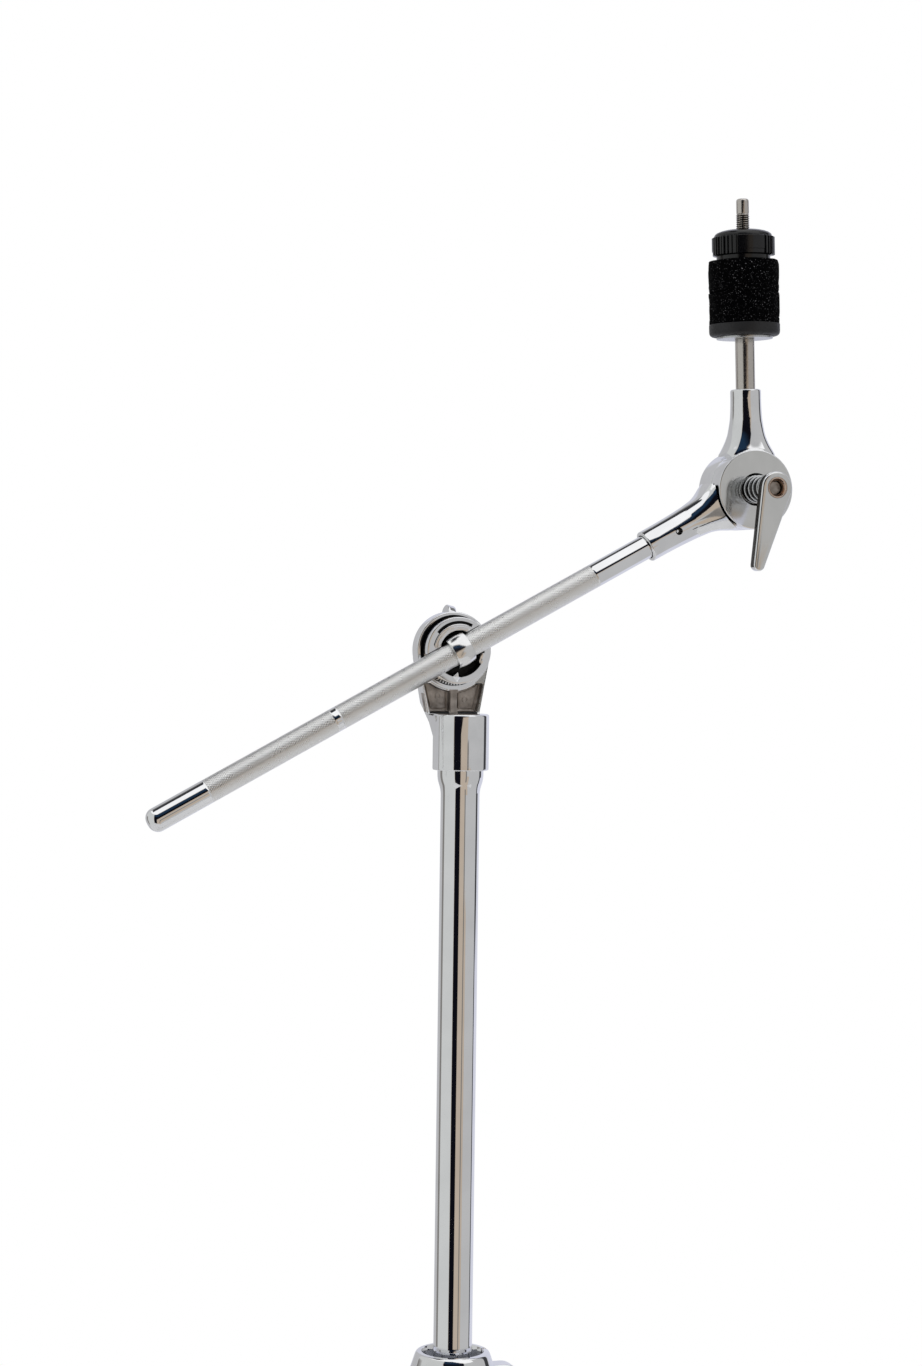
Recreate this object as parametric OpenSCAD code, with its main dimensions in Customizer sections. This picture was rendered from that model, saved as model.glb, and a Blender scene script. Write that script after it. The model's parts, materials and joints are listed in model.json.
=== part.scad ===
// Boom stand: folding tripod, telescopic column, boom clamp, knurled boom rod, tilter and
// felted stud. Millimetres, +Z up, origin on the floor under the column.
// Boom rod in a plane parallel to XZ, with the tilter on the +X side and the levers towards -Y.

/* [Column] */
// Height of the top of the height clamp above the floor
clamp_top = 640; // [560:5:700]
// Outer diameter of the base tube
base_d = 28.6; // [27:0.1:32]
// Wall of the base tube
base_wall = 1.5; // [1.2:0.1:2]
// Outer diameter of the upper tube
tube_d = 22.2; // [19:0.1:23]
// Wall of the upper tube
tube_wall = 1.5; // [1:0.1:2.5]
// Length of the upper tube
tube_len = 500; // [440:5:540]
// Upper tube seen between the height clamp and the boom holder
tube_out = 333; // [250:1:380]
// Outer diameter of the expanded end of the upper tube
swage_d = 26.3; // [25:0.1:28]
// Length of the expanded end seen below the holder
swage_h = 5.4; // [3:0.1:10]
// Length of the cone below the expanded end
swage_cone = 5; // [3:0.5:10]
// Length of tube inside the holder sleeve
tube_insert = 24; // [18:1:28]
// Thickness of the rubber plug under the base tube
plug_lip = 5; // [3:0.5:8]
// Length of the plugs inside the tubes
plug_in = 18; // [10:1:30]

/* [Height clamp] */
// Diameter of the mouth of the clamp
mouth_d = 35.4; // [34:0.1:38]
// Depth of the mouth
mouth_h = 12; // [8:1:16]
// Outer diameter of the clamp at its top rim
clamp_rim_d = 41; // [40:0.5:46]
// Largest outer diameter of the clamp
clamp_d = 52; // [48:1:60]
// Outer diameter of the lower neck of the clamp
clamp_neck_d = 37; // [34.5:0.5:40]
// Height of the clamp
clamp_h = 52; // [46:1:60]
// Length of the bush below the mouth
bush_len = 40; // [30:1:60]
// Number of fingers cut in the top of the bush
bush_fingers = 6; // [4:1:10]
// Width of the split in the clamp
clamp_split = 3; // [2:0.5:5]
// Distance from the column axis to the clamp bolt
clamp_bolt_x = 33; // [31:0.5:38]
// Distance from the clamp top down to the clamp bolt
clamp_bolt_down = 21; // [20:0.5:28]
// Half the width of the lugs that the clamp bolt draws together
clamp_lug = 13; // [10:0.5:16]
// Radius of the lugs
clamp_lug_r = 10; // [8.5:0.5:12]
// Radius of the lever's boss against the lug
clamp_boss_r = 7; // [6:0.5:9]
// Thickness of the clamp bolt's head
clamp_head_h = 4; // [3:0.5:6]
// Lean of the height clamp's lever at rest, in degrees
clamp_lever_lean = 35; // [0:1:60]

/* [Boom holder] */
// Outer diameter of the holder sleeve
sleeve_d = 32; // [30.5:0.1:36]
// Length of the holder sleeve
sleeve_h = 32; // [30:0.5:40]
// Width over the two flats of the holder sleeve
flat_w = 30; // [28.5:0.1:32]
// Height of the boom axis above the bottom of the sleeve
axis_up = 68; // [64:0.5:80]
// Outer radius of the toothed ring
ring_r = 22.2; // [21.6:0.1:25]
// Wall of the toothed ring
ring_wall = 1.8; // [1.4:0.1:2.4]
// Front of the ring behind the column axis
ring_y0 = 14.5; // [12.5:0.1:16]
// Back of the ring behind the column axis
ring_y1 = 25; // [24:0.1:30]
// Thickness of the back wall of the ring
ring_back = 3.2; // [2.5:0.1:5]
// Width of the neck under the ring
neck_w = 35; // [33:0.5:38]
// Height of the two pockets in the neck
pocket_h = 15.5; // [10:0.5:17]
// Depth of the pockets
pocket_depth = 4.5; // [3:0.5:5.5]
// Width of the rib between the pockets
pocket_rib = 4.2; // [3:0.2:8]
// Height of the cross pin above the bottom of the sleeve
holder_pin_at = 12; // [8:0.5:14]
// Diameter of the cross pin in the sleeve
holder_pin_d = 4; // [3:0.5:5]

/* [Boom clamp] */
// Boom rod axis behind the column axis
boom_y = 4; // [2:0.1:5]
// Radius of the saddle disc in front of its toothed flange
saddle_r = 18.6; // [17.5:0.1:19]
// Distance of the saddle disc's flat land behind the rod axis
land_back = 1; // [0:0.5:3]
// Height of the raised arc in front of the land
arc_h = 1.6; // [0.6:0.1:3]
// Outer radius of the raised arc
arc_r = 15.3; // [13.5:0.1:16]
// Width of the slot outside the raised arc
slot_w = 1.7; // [1:0.1:2.5]
// Depth of the slot
slot_depth = 3; // [1:0.5:5]
// Width of the strap over the rod
strap_w = 11; // [8:0.5:14]
// Thickness of the strap
strap_t = 2.6; // [2:0.1:3.2]
// Room around the strap in the saddle disc
strap_room = 1.9; // [1.6:0.1:2.5]
// Diameter of the threaded shank of the eye bolt
shank_d = 8; // [6:0.1:8]
// Span of the wing nut
wing_span = 54; // [40:1:70]
// Thickness of the wings
wing_t = 5.4; // [4:0.2:8]
// Height of the wing nut hub
wing_hub_h = 12; // [9:0.5:16]
// Radius of the wing nut hub
wing_hub_r = 8; // [7:0.5:10]
// Turn of the wing nut at rest, in degrees
wing_turn = 104; // [0:1:180]

/* [Boom rod] */
// Diameter of the boom rod
rod_d = 14; // [12:0.1:14]
// Rise of the boom rod above the horizontal at rest, in degrees
rod_angle = 28.5; // [10:0.5:45]
// Distance from the boom clamp to the tail of the rod
rod_tail = 205; // [150:1:300]
// Distance from the boom clamp to the tilter axis
rod_reach = 201.5; // [190:0.5:300]
// Depth of the knurl cut into the plain rod
knurl_cut = 0.15; // [0:0.05:0.3]
// Distance from the clamp to the tail end of the knurl
knurl_tail = 167; // [100:1:190]
// Distance from the clamp to the tilter end of the knurl
knurl_head = 91.5; // [60:0.5:110]
// Distance from the clamp to the middle of the plain band
band_at = 83; // [40:1:95]
// Width of the plain band
band_w = 4.4; // [2:0.2:10]

/* [Tilter] */
// Radius of the two tilter discs
disc_r = 23.3; // [21:0.1:26]
// Thickness of the front disc
front_t = 13; // [12:0.1:16]
// Thickness of the rear disc
rear_t = 18.6; // [14:0.1:22]
// Radius of the spring recess in the front disc
recess_r = 9.4; // [9:0.1:11]
// Floor left behind the spring recess
recess_floor = 4; // [3:0.5:6]
// Height of the post above the tilter axis
post_h = 59.2; // [52:0.1:70]
// Radius of the post at its top
post_r = 9; // [8:0.1:10]
// Radius of the socket sleeve
socket_r = 9.3; // [8.8:0.1:10]
// Length of the socket from the tilter axis
socket_len = 72.7; // [60:0.1:90]
// Depth of the rod inside the socket
socket_hold = 40; // [25:1:44]
// Diameter of the roll pin through the socket and the rod
roll_pin_d = 3.4; // [2:0.1:4]
// Distance of the roll pin from the mouth of the socket
roll_pin_at = 19.5; // [12:0.5:24]
// Wall of the hollow roll pin
roll_pin_wall = 0.6; // [0.4:0.1:0.9]
// Diameter of the tilter bolt
bolt_d = 8; // [6:0.1:8]
// Lean of the stem from the vertical at rest, in degrees
stem_lean = 2; // [-30:0.5:30]

/* [Tilter lever] */
// Distance from the front disc to the back of the lever
lever_gap = 23.5; // [18:0.5:30]
// Thickness of the lever
lever_t = 6.5; // [4:0.1:8]
// Radius of the lever head
lever_head_r = 9.3; // [8.6:0.1:11]
// Radius of the lever tip
lever_tip_r = 3.4; // [2:0.1:5]
// Distance from the lever head to its tip
lever_len = 46; // [30:1:70]
// Lean of the lever at rest, in degrees
lever_lean = 13; // [-60:1:60]
// Outer radius of the bronze insert
insert_r = 6; // [5.2:0.1:7]
// Wire diameter of the tilter spring
spring_wire = 1.9; // [1:0.1:2.4]
// Number of turns of the tilter spring
spring_turns = 6; // [4:1:9]

/* [Stem] */
// Diameter of the stem
stem_d = 11.4; // [10:0.1:13]
// Diameter of the threaded stud
stud_d = 8; // [6:0.1:8]
// Height of the seat washer above the tilter axis
seat_at = 88.8; // [80:0.1:110]
// Height of the end of the stud above the tilter axis
stud_top = 171; // [165:0.5:190]
// Diameter of the smooth tip of the stud
pilot_d = 7.4; // [5:0.1:7.6]
// Length of the smooth tip of the stud
pilot_h = 9; // [5:0.5:12]
// Depth of the stem inside the post
stem_hold = 28; // [20:1:34]
// Diameter of the seat washer
washer_d = 33; // [24:0.5:40]
// Thickness of the seat washer
washer_t = 1.6; // [1:0.1:3]
// Diameter of the seat cup
cup_d = 41.6; // [36:0.1:46]
// Thickness of the seat cup
cup_h = 7; // [4:0.1:10]
// Diameter of the felts
felt_d = 41.2; // [34:0.1:46]
// Thickness of each felt
felt_h = 18.4; // [8:0.1:19]
// Outer diameter of the plastic sleeve inside the felts
seat_sleeve_d = 12; // [11:0.1:14]
// Diameter of the top nut
nut_d = 37; // [28:0.5:42]
// Height of the top nut
nut_h = 18; // [14:0.5:22]
// Number of ribs around the nut
nut_ribs = 24; // [12:1:36]

/* [Tripod] */
// Length of each leg from the collar pivot to the foot centre
leg_len = 390; // [340:5:430]
// Length of each strut between its pivots
strut_len = 170; // [150:5:200]
// Angle of the legs from the column at rest, in degrees
spread = 52; // [40:1:58]
// Distance of the leg pivots from the column axis
pivot_r = 27; // [26:0.5:32]
// Width of the leg and strut strips
strip_w = 14; // [10:0.5:15]
// Thickness of the strips
strip_t = 2; // [1.5:0.1:2.5]
// Space between the two strips of a leg
leg_gap = 8; // [6:0.5:10]
// Diameter of the pivot pins
pin_d = 5; // [4:0.1:6]
// Width of the pivot pins' heads around the pin
head_lip = 1.6; // [1:0.1:2.4]
// Thickness of the pivot pins' heads
head_h = 1.5; // [1:0.1:2.5]
// Length of the block between the strips at the end of a leg
tip_block = 46; // [38:1:60]
// Radius of the rubber feet
foot_r = 11; // [10:0.5:13]
// Width of the rubber feet
foot_w = 26; // [20:1:34]
// Height of the rubber shoe above the foot's centre
shoe_h = 34; // [26:1:44]
// Wall of the rubber shoe
shoe_wall = 2.2; // [1.5:0.1:3]
// Height of the sliding collar
collar_h = 30; // [24:1:40]
// Height of the lower bracket
bracket_h = 24; // [18:1:30]
// Wall of the collar and the bracket around the base tube
collar_wall = 4.5; // [3:0.1:6]
// Length of the collar's boss for the wing screw
screw_boss = 10; // [8:0.5:14]
// Span of the collar's wing screw
collar_wing_span = 39; // [30:1:44]
// Diameter of the collar screw and of the height clamp's bolt
screw_d = 6; // [5:0.1:7]

/* [Fits] */
// Radial clearance of shafts, pins and sliding tubes
fit = 0.08; // [0.03:0.01:0.1]
// Radial gap between pieces that are fixed in each other
seat = 0.02; // [0.01:0.01:0.05]
// Gap between faces that move past each other
gap = 0.3; // [0.2:0.05:0.5]
// Gap between the filed edges of the tilter castings
casting_gap = 1.2; // [0.8:0.1:2]

/* [Hidden] */
$fn = 72;

// Levels on the column
base_r = base_d / 2;
base_in = base_r - base_wall;
tube_r = tube_d / 2;
swage_r = swage_d / 2;
rod_r = rod_d / 2;
sleeve_bottom = clamp_top + tube_out;
boom_z = sleeve_bottom + axis_up;
sleeve_top = sleeve_bottom + sleeve_h;
tube_top = sleeve_bottom + tube_insert;
tube_bottom = tube_top - tube_len;

// Levels on the stem, from the tilter axis
cup_at = seat_at + washer_t;
felt_at = cup_at + cup_h;
felt2_at = felt_at + felt_h + gap;
nut_at = felt2_at + felt_h + gap;
stud_r = stud_d / 2;
pilot_r = pilot_d / 2;

// Depths along the boom clamp axis
ring_in = ring_r - ring_wall;
disc_out = ring_in - gap;
floor_y = ring_y1 - ring_back;
land_y = boom_y + land_back;
strap_r = rod_r + fit + strap_t;
pocket_y = boom_y + strap_r + gap;
shank_r = shank_d / 2;
hub_y = ring_y1 + 1.8;
shank_end = hub_y + wing_hub_h + 3;

// Depths along the tilter axis
bolt_r = bolt_d / 2;
screw_r = screw_d / 2;
clamp_lever_y = clamp_lug + 7;
lever_back = front_t + lever_gap;
bolt_tip = lever_back + lever_t - 4;
spring_r = recess_r - gap - spring_wire / 2;

// Tripod
pin_r = pin_d / 2;
collar_z = foot_r + leg_len * cos(spread);
bracket_z = collar_z - 2 * strut_len * cos(spread);
leg_w = leg_gap + 2 * strip_t;
strut_gap = leg_w + 2 * gap;
strut_w = strut_gap + 2 * strip_t;
azimuths = [0, 120, 240];

// Places one leg's parts, drawn in the plane of X and Z, around the column
module around(i) {
    rotate([0, 0, azimuths[i]])
        children();
}

// A cylinder along Y, from y0 to y1
module bar_y(r, y0, y1) {
    translate([0, y1, 0])
        rotate([90, 0, 0])
            cylinder(r = r, h = y1 - y0);
}

// An outline in the plane of X and Z, drawn out along Y from y0 to y1
module plate_y(y0, y1) {
    translate([0, y1, 0])
        rotate([90, 0, 0])
            linear_extrude(y1 - y0)
                children();
}

// An outline in the plane of Y and Z, drawn out along X to w on both sides
module plate_x(w) {
    translate([-w, 0, 0])
        rotate([90, 0, 90])
            linear_extrude(2 * w)
                children();
}

// Turns the rod's own frame, with the rod along +X, to its place on the boom clamp axis
module on_boom() {
    translate([0, boom_y, boom_z])
        rotate([0, -rod_angle, 0])
            children();
}

// The tilter axis at rest
module on_tilter() {
    translate([rod_reach * cos(rod_angle), boom_y, boom_z + rod_reach * sin(rod_angle)])
        children();
}

// The stem's own frame, with the stem along +Z from the tilter axis
module on_stem() {
    on_tilter()
        rotate([0, -stem_lean, 0])
            children();
}

// A flat tapered bar with round ends, from the origin down to length l, between y0 and y1
module taper_bar(r0, r1, l, y0, y1) {
    a = asin((r0 - r1) / l);
    bar_y(r0, y0, y1);
    translate([0, 0, -l])
        bar_y(r1, y0, y1);
    plate_y(y0, y1)
        polygon([
            [r0 * cos(a), -r0 * sin(a)], [r1 * cos(a), -l - r1 * sin(a)],
            [-r1 * cos(a), -l - r1 * sin(a)], [-r0 * cos(a), -r0 * sin(a)]
        ]);
}

// A smooth neck: radius r at distance d_end, growing to r + grow at distance d_start
function neck(d_start, d_end, r, grow, n = 14) = [
    for (i = [0:n])
        let (t = i / n)
        [r + grow * pow(1 - t, 2.4), d_start + (d_end - d_start) * t]
];

// ---------------------------------------------------------------- floor and base tube

module base_plug() {
    color("#202022") {
        cylinder(r1 = base_r + 0.4, r2 = base_r + 1.2, h = plug_lip);
        translate([0, 0, plug_lip])
            cylinder(r = base_in, h = plug_in);
    }
}

module base_tube() {
    color("#c8cacc")
        translate([0, 0, plug_lip])
            difference() {
                cylinder(r = base_r, h = clamp_top - mouth_h - plug_lip);
                translate([0, 0, -1])
                    cylinder(r = base_in, h = clamp_top);
            }
}

// One lug of the collar or the bracket, from the ring to the pivot, w wide
module lug(r_ring, w, pin_hole) {
    difference() {
        union() {
            plate_y(-w / 2, w / 2)
                translate([pivot_r, 0])
                    circle(r = strip_w / 2);
            translate([r_ring - 2, -w / 2, -strip_w / 2])
                cube([pivot_r - r_ring + 2, w, strip_w]);
        }
        translate([pivot_r, 0, 0])
            bar_y(pin_hole, -w, w);
    }
}

module base_bracket() {
    color("#b9bbbe")
        translate([0, 0, bracket_z])
            difference() {
                union() {
                    translate([0, 0, -bracket_h / 2])
                        cylinder(r = base_r + collar_wall, h = bracket_h);
                    for (i = [0:2])
                        around(i)
                            lug(base_r + collar_wall, strut_gap - 2 * gap, pin_r);
                }
                translate([0, 0, -bracket_h])
                    cylinder(r = base_r, h = 2 * bracket_h);
            }
}

module bracket_pins() {
    color("#8f9194")
        for (i = [0:2])
            around(i)
                translate([pivot_r, 0, bracket_z])
                    rivet(strut_w);
}

// A pivot pin with two flat heads, gripping a width w
module rivet(w) {
    bar_y(pin_r, -w / 2 - gap, w / 2 + gap);
    for (s = [-1, 1])
        scale([1, s, 1])
            bar_y(pin_r + head_lip, w / 2 + gap, w / 2 + gap + head_h);
}

// ---------------------------------------------------------------- legs

// Two strips with round ends from the origin to length l along -Z, gap g between them
module strips(g, l) {
    for (s = [-1, 1])
        scale([1, s, 1])
            taper_bar(strip_w / 2, strip_w / 2, l, g / 2, g / 2 + strip_t);
}

module leg_place(i) {
    around(i)
        translate([pivot_r, 0, collar_z])
            rotate([0, -spread, 0])
                children();
}

module leg(i) {
    color("#c8cacc")
        leg_place(i)
            difference() {
                union() {
                    strips(leg_gap, leg_len - foot_r);
                    translate([-strip_w / 2, -leg_gap / 2, -leg_len])
                        cube([strip_w, leg_gap, tip_block]);
                    translate([-strip_w / 2, -leg_w / 2, -leg_len])
                        cube([strip_w, leg_w, foot_r]);
                }
                bar_y(pin_r + fit, -leg_w, leg_w);
                translate([0, 0, -strut_len])
                    bar_y(pin_r, -leg_w, leg_w);
            }
}

module foot(i) {
    color("#202022")
        leg_place(i)
            difference() {
                translate([0, 0, -leg_len])
                    union() {
                        bar_y(foot_r, -foot_w / 2, foot_w / 2);
                        translate([-strip_w / 2 - shoe_wall, -leg_w / 2 - shoe_wall, 0])
                            cube([strip_w + 2 * shoe_wall, leg_w + 2 * shoe_wall, shoe_h]);
                    }
                translate([-strip_w / 2, -leg_w / 2, -leg_len])
                    cube([strip_w, leg_w, leg_len]);
            }
}

module strut(i) {
    color("#c8cacc")
        around(i)
            translate([pivot_r, 0, bracket_z])
                rotate([0, 180 + spread, 0])
                    difference() {
                        strips(strut_gap, strut_len);
                        bar_y(pin_r + fit, -strut_w, strut_w);
                        translate([0, 0, -strut_len])
                            bar_y(pin_r + fit, -strut_w, strut_w);
                    }
}

module mid_pin(i) {
    color("#8f9194")
        leg_place(i)
            translate([0, 0, -strut_len])
                rivet(strut_w);
}

// ---------------------------------------------------------------- sliding collar

module leg_collar() {
    boss = base_r + collar_wall;
    color("#b9bbbe")
        translate([0, 0, collar_z])
            difference() {
                union() {
                    translate([0, 0, -collar_h / 2])
                        cylinder(r = boss, h = collar_h);
                    for (i = [0:2])
                        around(i)
                            lug(boss, leg_gap - 2 * gap, pin_r);
                    rotate([0, 0, 60])
                        translate([base_r, 0, 0])
                            rotate([0, 90, 0])
                                cylinder(r = screw_r + 4, h = screw_boss);
                }
                translate([0, 0, -collar_h])
                    cylinder(r = base_r + fit, h = 2 * collar_h);
                rotate([0, 0, 60])
                    rotate([0, 90, 0])
                        cylinder(r = screw_r + fit, h = 2 * boss);
            }
}

module collar_pins() {
    color("#8f9194")
        for (i = [0:2])
            around(i)
                translate([pivot_r, 0, collar_z])
                    rivet(leg_w);
}

module collar_screw() {
    color("#b9bbbe")
        translate([0, 0, collar_z])
            rotate([0, 0, 60])
                rotate([0, 90, 0]) {
                    translate([0, 0, base_r + gap])
                        cylinder(r = screw_r, h = screw_boss + 5);
                    translate([0, 0, base_r + screw_boss + gap])
                        wings(collar_wing_span, 9, 6.5);
                }
}

// A wing nut body along +Z: hub of radius r and height h, and two wings of total width span
module wings(span, h, r) {
    cylinder(r = r, h = h);
    rotate([90, 0, 0])
        translate([0, 0, -wing_t / 2])
            linear_extrude(wing_t)
                for (s = [-1, 1])
                    scale([s, 1])
                        polygon([
                            [0, 0.5], [r, 1], [span / 2 - 5, h * 0.55], [span / 2 - 1, h * 0.9],
                            [span / 2, h * 1.35], [span / 2 - 3, h * 1.7], [span / 2 - 7, h * 1.6],
                            [r * 0.9, h], [0, h]
                        ]);
}

// ---------------------------------------------------------------- height clamp

module clamp_body() {
    bottom = clamp_top - clamp_h;
    shoulder = clamp_top - mouth_h - 1;
    bolt_z = clamp_top - clamp_bolt_down;
    color("#c8cacc")
        difference() {
            union() {
                rotate_extrude()
                    polygon([
                        [0, bottom], [clamp_neck_d / 2 - 1, bottom], [clamp_neck_d / 2, bottom + 1],
                        [clamp_neck_d / 2, bottom + 12], [clamp_d / 2 - 2, shoulder - 14],
                        [clamp_d / 2, shoulder - 9], [clamp_d / 2, shoulder - 2],
                        [clamp_d / 2 - 2, shoulder + 4],
                        [clamp_rim_d / 2 + 1, clamp_top - 1.5], [clamp_rim_d / 2, clamp_top], [0, clamp_top]
                    ]);
                for (s = [-1, 1])
                    scale([1, s, 1])
                        translate([clamp_bolt_x, 0, bolt_z]) {
                            bar_y(clamp_lug_r, clamp_split / 2, clamp_lug);
                            translate([clamp_neck_d / 2 - 2 - clamp_bolt_x, clamp_split / 2, -clamp_lug_r])
                                cube([
                                    clamp_bolt_x - clamp_neck_d / 2 + 2,
                                    clamp_lug - clamp_split / 2,
                                    2 * clamp_lug_r
                                ]);
                        }
            }
            translate([0, 0, clamp_top - mouth_h])
                cylinder(r = mouth_d / 2, h = mouth_h + 1);
            translate([0, 0, bottom - 1])
                cylinder(r = base_r, h = clamp_h);
            translate([0, -clamp_split / 2, bottom + 8])
                cube([clamp_d, clamp_split, clamp_h]);
            translate([clamp_bolt_x, 0, bolt_z])
                bar_y(screw_r + fit, -clamp_d, clamp_d);
        }
}

module clamp_bush() {
    color("#8b8f98")
        difference() {
            union() {
                translate([0, 0, clamp_top - mouth_h + gap])
                    cylinder(r = mouth_d / 2 - gap, h = mouth_h - gap - 2.5);
                translate([0, 0, clamp_top - mouth_h - bush_len])
                    cylinder(r = base_in - fit, h = bush_len + 1);
            }
            translate([0, 0, clamp_top - mouth_h - bush_len - 1])
                cylinder(r = tube_r + fit, h = mouth_h + bush_len + 2);
            for (k = [0:bush_fingers - 1])
                rotate([0, 0, (k + 0.5) * 360 / bush_fingers])
                    translate([tube_r - 1, -1, clamp_top - 8])
                        cube([mouth_d / 2, 2, 8]);
        }
}

module clamp_bolt() {
    color("#8f9194")
        translate([clamp_bolt_x, 0, clamp_top - clamp_bolt_down]) {
            bar_y(screw_r, -clamp_lever_y - lever_t - 2, clamp_lug);
            bar_y(screw_r + 2.6, clamp_lug, clamp_lug + clamp_head_h);
        }
}

module clamp_lever() {
    back = -clamp_lever_y;
    color("#c8cacc")
        translate([clamp_bolt_x, 0, clamp_top - clamp_bolt_down])
            difference() {
                union() {
                    bar_y(clamp_boss_r, back, -clamp_lug - gap);
                    rotate([0, -clamp_lever_lean, 0])
                        taper_bar(lever_head_r, lever_tip_r, lever_len, back - lever_t, back);
                }
                bar_y(screw_r + fit, -clamp_d, 0);
            }
}

// ---------------------------------------------------------------- upper tube and holder

module upper_tube() {
    cone_top = sleeve_bottom - swage_h;
    color("#c8cacc")
        rotate_extrude()
            polygon([
                [tube_r - tube_wall, tube_bottom], [tube_r, tube_bottom],
                [tube_r, cone_top - swage_cone], [swage_r, cone_top],
                [swage_r, tube_top], [swage_r - tube_wall, tube_top],
                [swage_r - tube_wall, cone_top], [tube_r - tube_wall, cone_top - swage_cone]
            ]);
}

module tube_plug() {
    color("#2a2a2c")
        translate([0, 0, tube_bottom]) {
            translate([0, 0, -2])
                cylinder(r = tube_r - 0.2, h = 2);
            cylinder(r = tube_r - tube_wall, h = plug_in);
        }
}

module boom_holder() {
    neck_bottom = sleeve_bottom + 18;
    pocket_bottom = sleeve_top + 1.5;
    pocket_top = sleeve_top + pocket_h;
    flat_y = sqrt(pow(sleeve_d / 2, 2) - pow(flat_w / 2, 2));
    color("#c4c6c9")
        difference() {
            union() {
                intersection() {
                    translate([0, 0, sleeve_bottom])
                        cylinder(r = sleeve_d / 2, h = sleeve_h);
                    translate([-flat_w / 2, -sleeve_d, sleeve_bottom])
                        cube([flat_w, 2 * sleeve_d, sleeve_h]);
                }
                translate([0, 0, boom_z])
                    bar_y(ring_r, ring_y0, ring_y1);
                translate([0, 0, boom_z])
                    bar_y(9, ring_y1 - 1, hub_y - 0.8);
                intersection() {
                    plate_y(0, ring_y1)
                        polygon([
                            [-neck_w / 2, boom_z - 14], [-neck_w / 2, sleeve_top + 13],
                            [-flat_w / 2, sleeve_top + 1], [-flat_w / 2, neck_bottom],
                            [flat_w / 2, neck_bottom], [flat_w / 2, sleeve_top + 1],
                            [neck_w / 2, sleeve_top + 13], [neck_w / 2, boom_z - 14]
                        ]);
                    plate_x(neck_w)
                        polygon([
                            [0, neck_bottom], [flat_y, neck_bottom],
                            [ring_y1, neck_bottom + ring_y1 - flat_y], [ring_y1, boom_z],
                            [ring_y0, boom_z], [ring_y0, sleeve_top - 1], [0, sleeve_top - 1]
                        ]);
                }
            }
            translate([0, 0, boom_z]) {
                bar_y(ring_in, ring_y0 - 1, floor_y);
                bar_y(shank_r + fit, 0, ring_y1 + 20);
            }
            translate([0, 0, sleeve_bottom - 1])
                cylinder(r = swage_r, h = tube_insert + 1);
            translate([0, 0, sleeve_bottom + holder_pin_at])
                bar_y(holder_pin_d / 2, 0, sleeve_d);
            for (s = [-1, 1])
                scale([s, 1, 1])
                    plate_y(ring_y0 - 1, ring_y0 + pocket_depth)
                        difference() {
                            polygon([
                                [pocket_rib / 2, pocket_bottom], [flat_w / 2 - 1.4, pocket_bottom],
                                [neck_w / 2 - 2.2, pocket_top], [pocket_rib / 2, pocket_top]
                            ]);
                            translate([0, boom_z])
                                circle(r = ring_r + 1.2);
                        }
        }
}

module holder_pin() {
    color("#8f9194")
        translate([0, 0, sleeve_bottom + holder_pin_at])
            bar_y(holder_pin_d / 2, swage_r + 0.2, sleeve_d / 2 - 0.5);
}

// The half of a disc of radius r above the rod (up = 1) or below it (up = -1), from y0 to y1
module half_disc(r, y0, y1, up) {
    plate_y(y0, y1)
        intersection() {
            circle(r = r);
            translate([-r, up > 0 ? 0 : -r])
                square([2 * r, r]);
        }
}

module saddle_disc() {
    slot_r = arc_r + slot_w;
    color("#c4c6c9")
        on_boom()
            translate([0, -boom_y, 0])
                difference() {
                    union() {
                        bar_y(disc_out, ring_y0, floor_y - gap);
                        bar_y(saddle_r, land_y, ring_y0 + 1);
                        half_disc(arc_r, land_y - arc_h, land_y + 1, 1);
                    }
                    bar_y(strap_r + strap_room, 0, pocket_y);
                    half_disc(arc_r, 0, pocket_y, -1);
                    bar_y(shank_r + gap, 0, ring_y1);
                    plate_y(0, land_y + slot_depth)
                        intersection() {
                            difference() {
                                circle(r = slot_r);
                                circle(r = arc_r);
                            }
                            polygon([[0, 0], [2 * slot_r, slot_r], [0, 2 * slot_r], [-slot_r, 2 * slot_r]]);
                        }
                    translate([-ring_r, boom_y, 0])
                        rotate([0, 90, 0])
                            cylinder(r = rod_r + gap, h = 2 * ring_r);
                    plate_y(0, boom_y)
                        square([2 * ring_r + 2, 2 * (rod_r + gap)], center = true);
                }
}

module eye_bolt() {
    color("#d0d2d4")
        on_boom()
            difference() {
                union() {
                    rotate([0, 90, 0])
                        translate([0, 0, -strap_w / 2])
                            cylinder(r = strap_r, h = strap_w);
                    bar_y(shank_r, rod_r + 1, shank_end - boom_y);
                }
                rotate([0, 90, 0])
                    translate([0, 0, -ring_r])
                        cylinder(r = rod_r + fit, h = 2 * ring_r);
            }
}

module clamp_washer() {
    color("#8f9194")
        translate([0, 0, boom_z])
            difference() {
                bar_y(8.5, hub_y - 0.8, hub_y + 0.2);
                bar_y(shank_r + fit, 0, hub_y + 5);
            }
}

module wing_nut() {
    color("#c4c6c9")
        translate([0, hub_y + 0.5, boom_z])
            rotate([0, wing_turn, 0])
                rotate([-90, 0, 0])
                    difference() {
                        wings(wing_span, wing_hub_h, wing_hub_r);
                        translate([0, 0, -1])
                            cylinder(r = shank_r + fit, h = 2 * wing_hub_h);
                    }
}

// ---------------------------------------------------------------- boom rod

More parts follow.
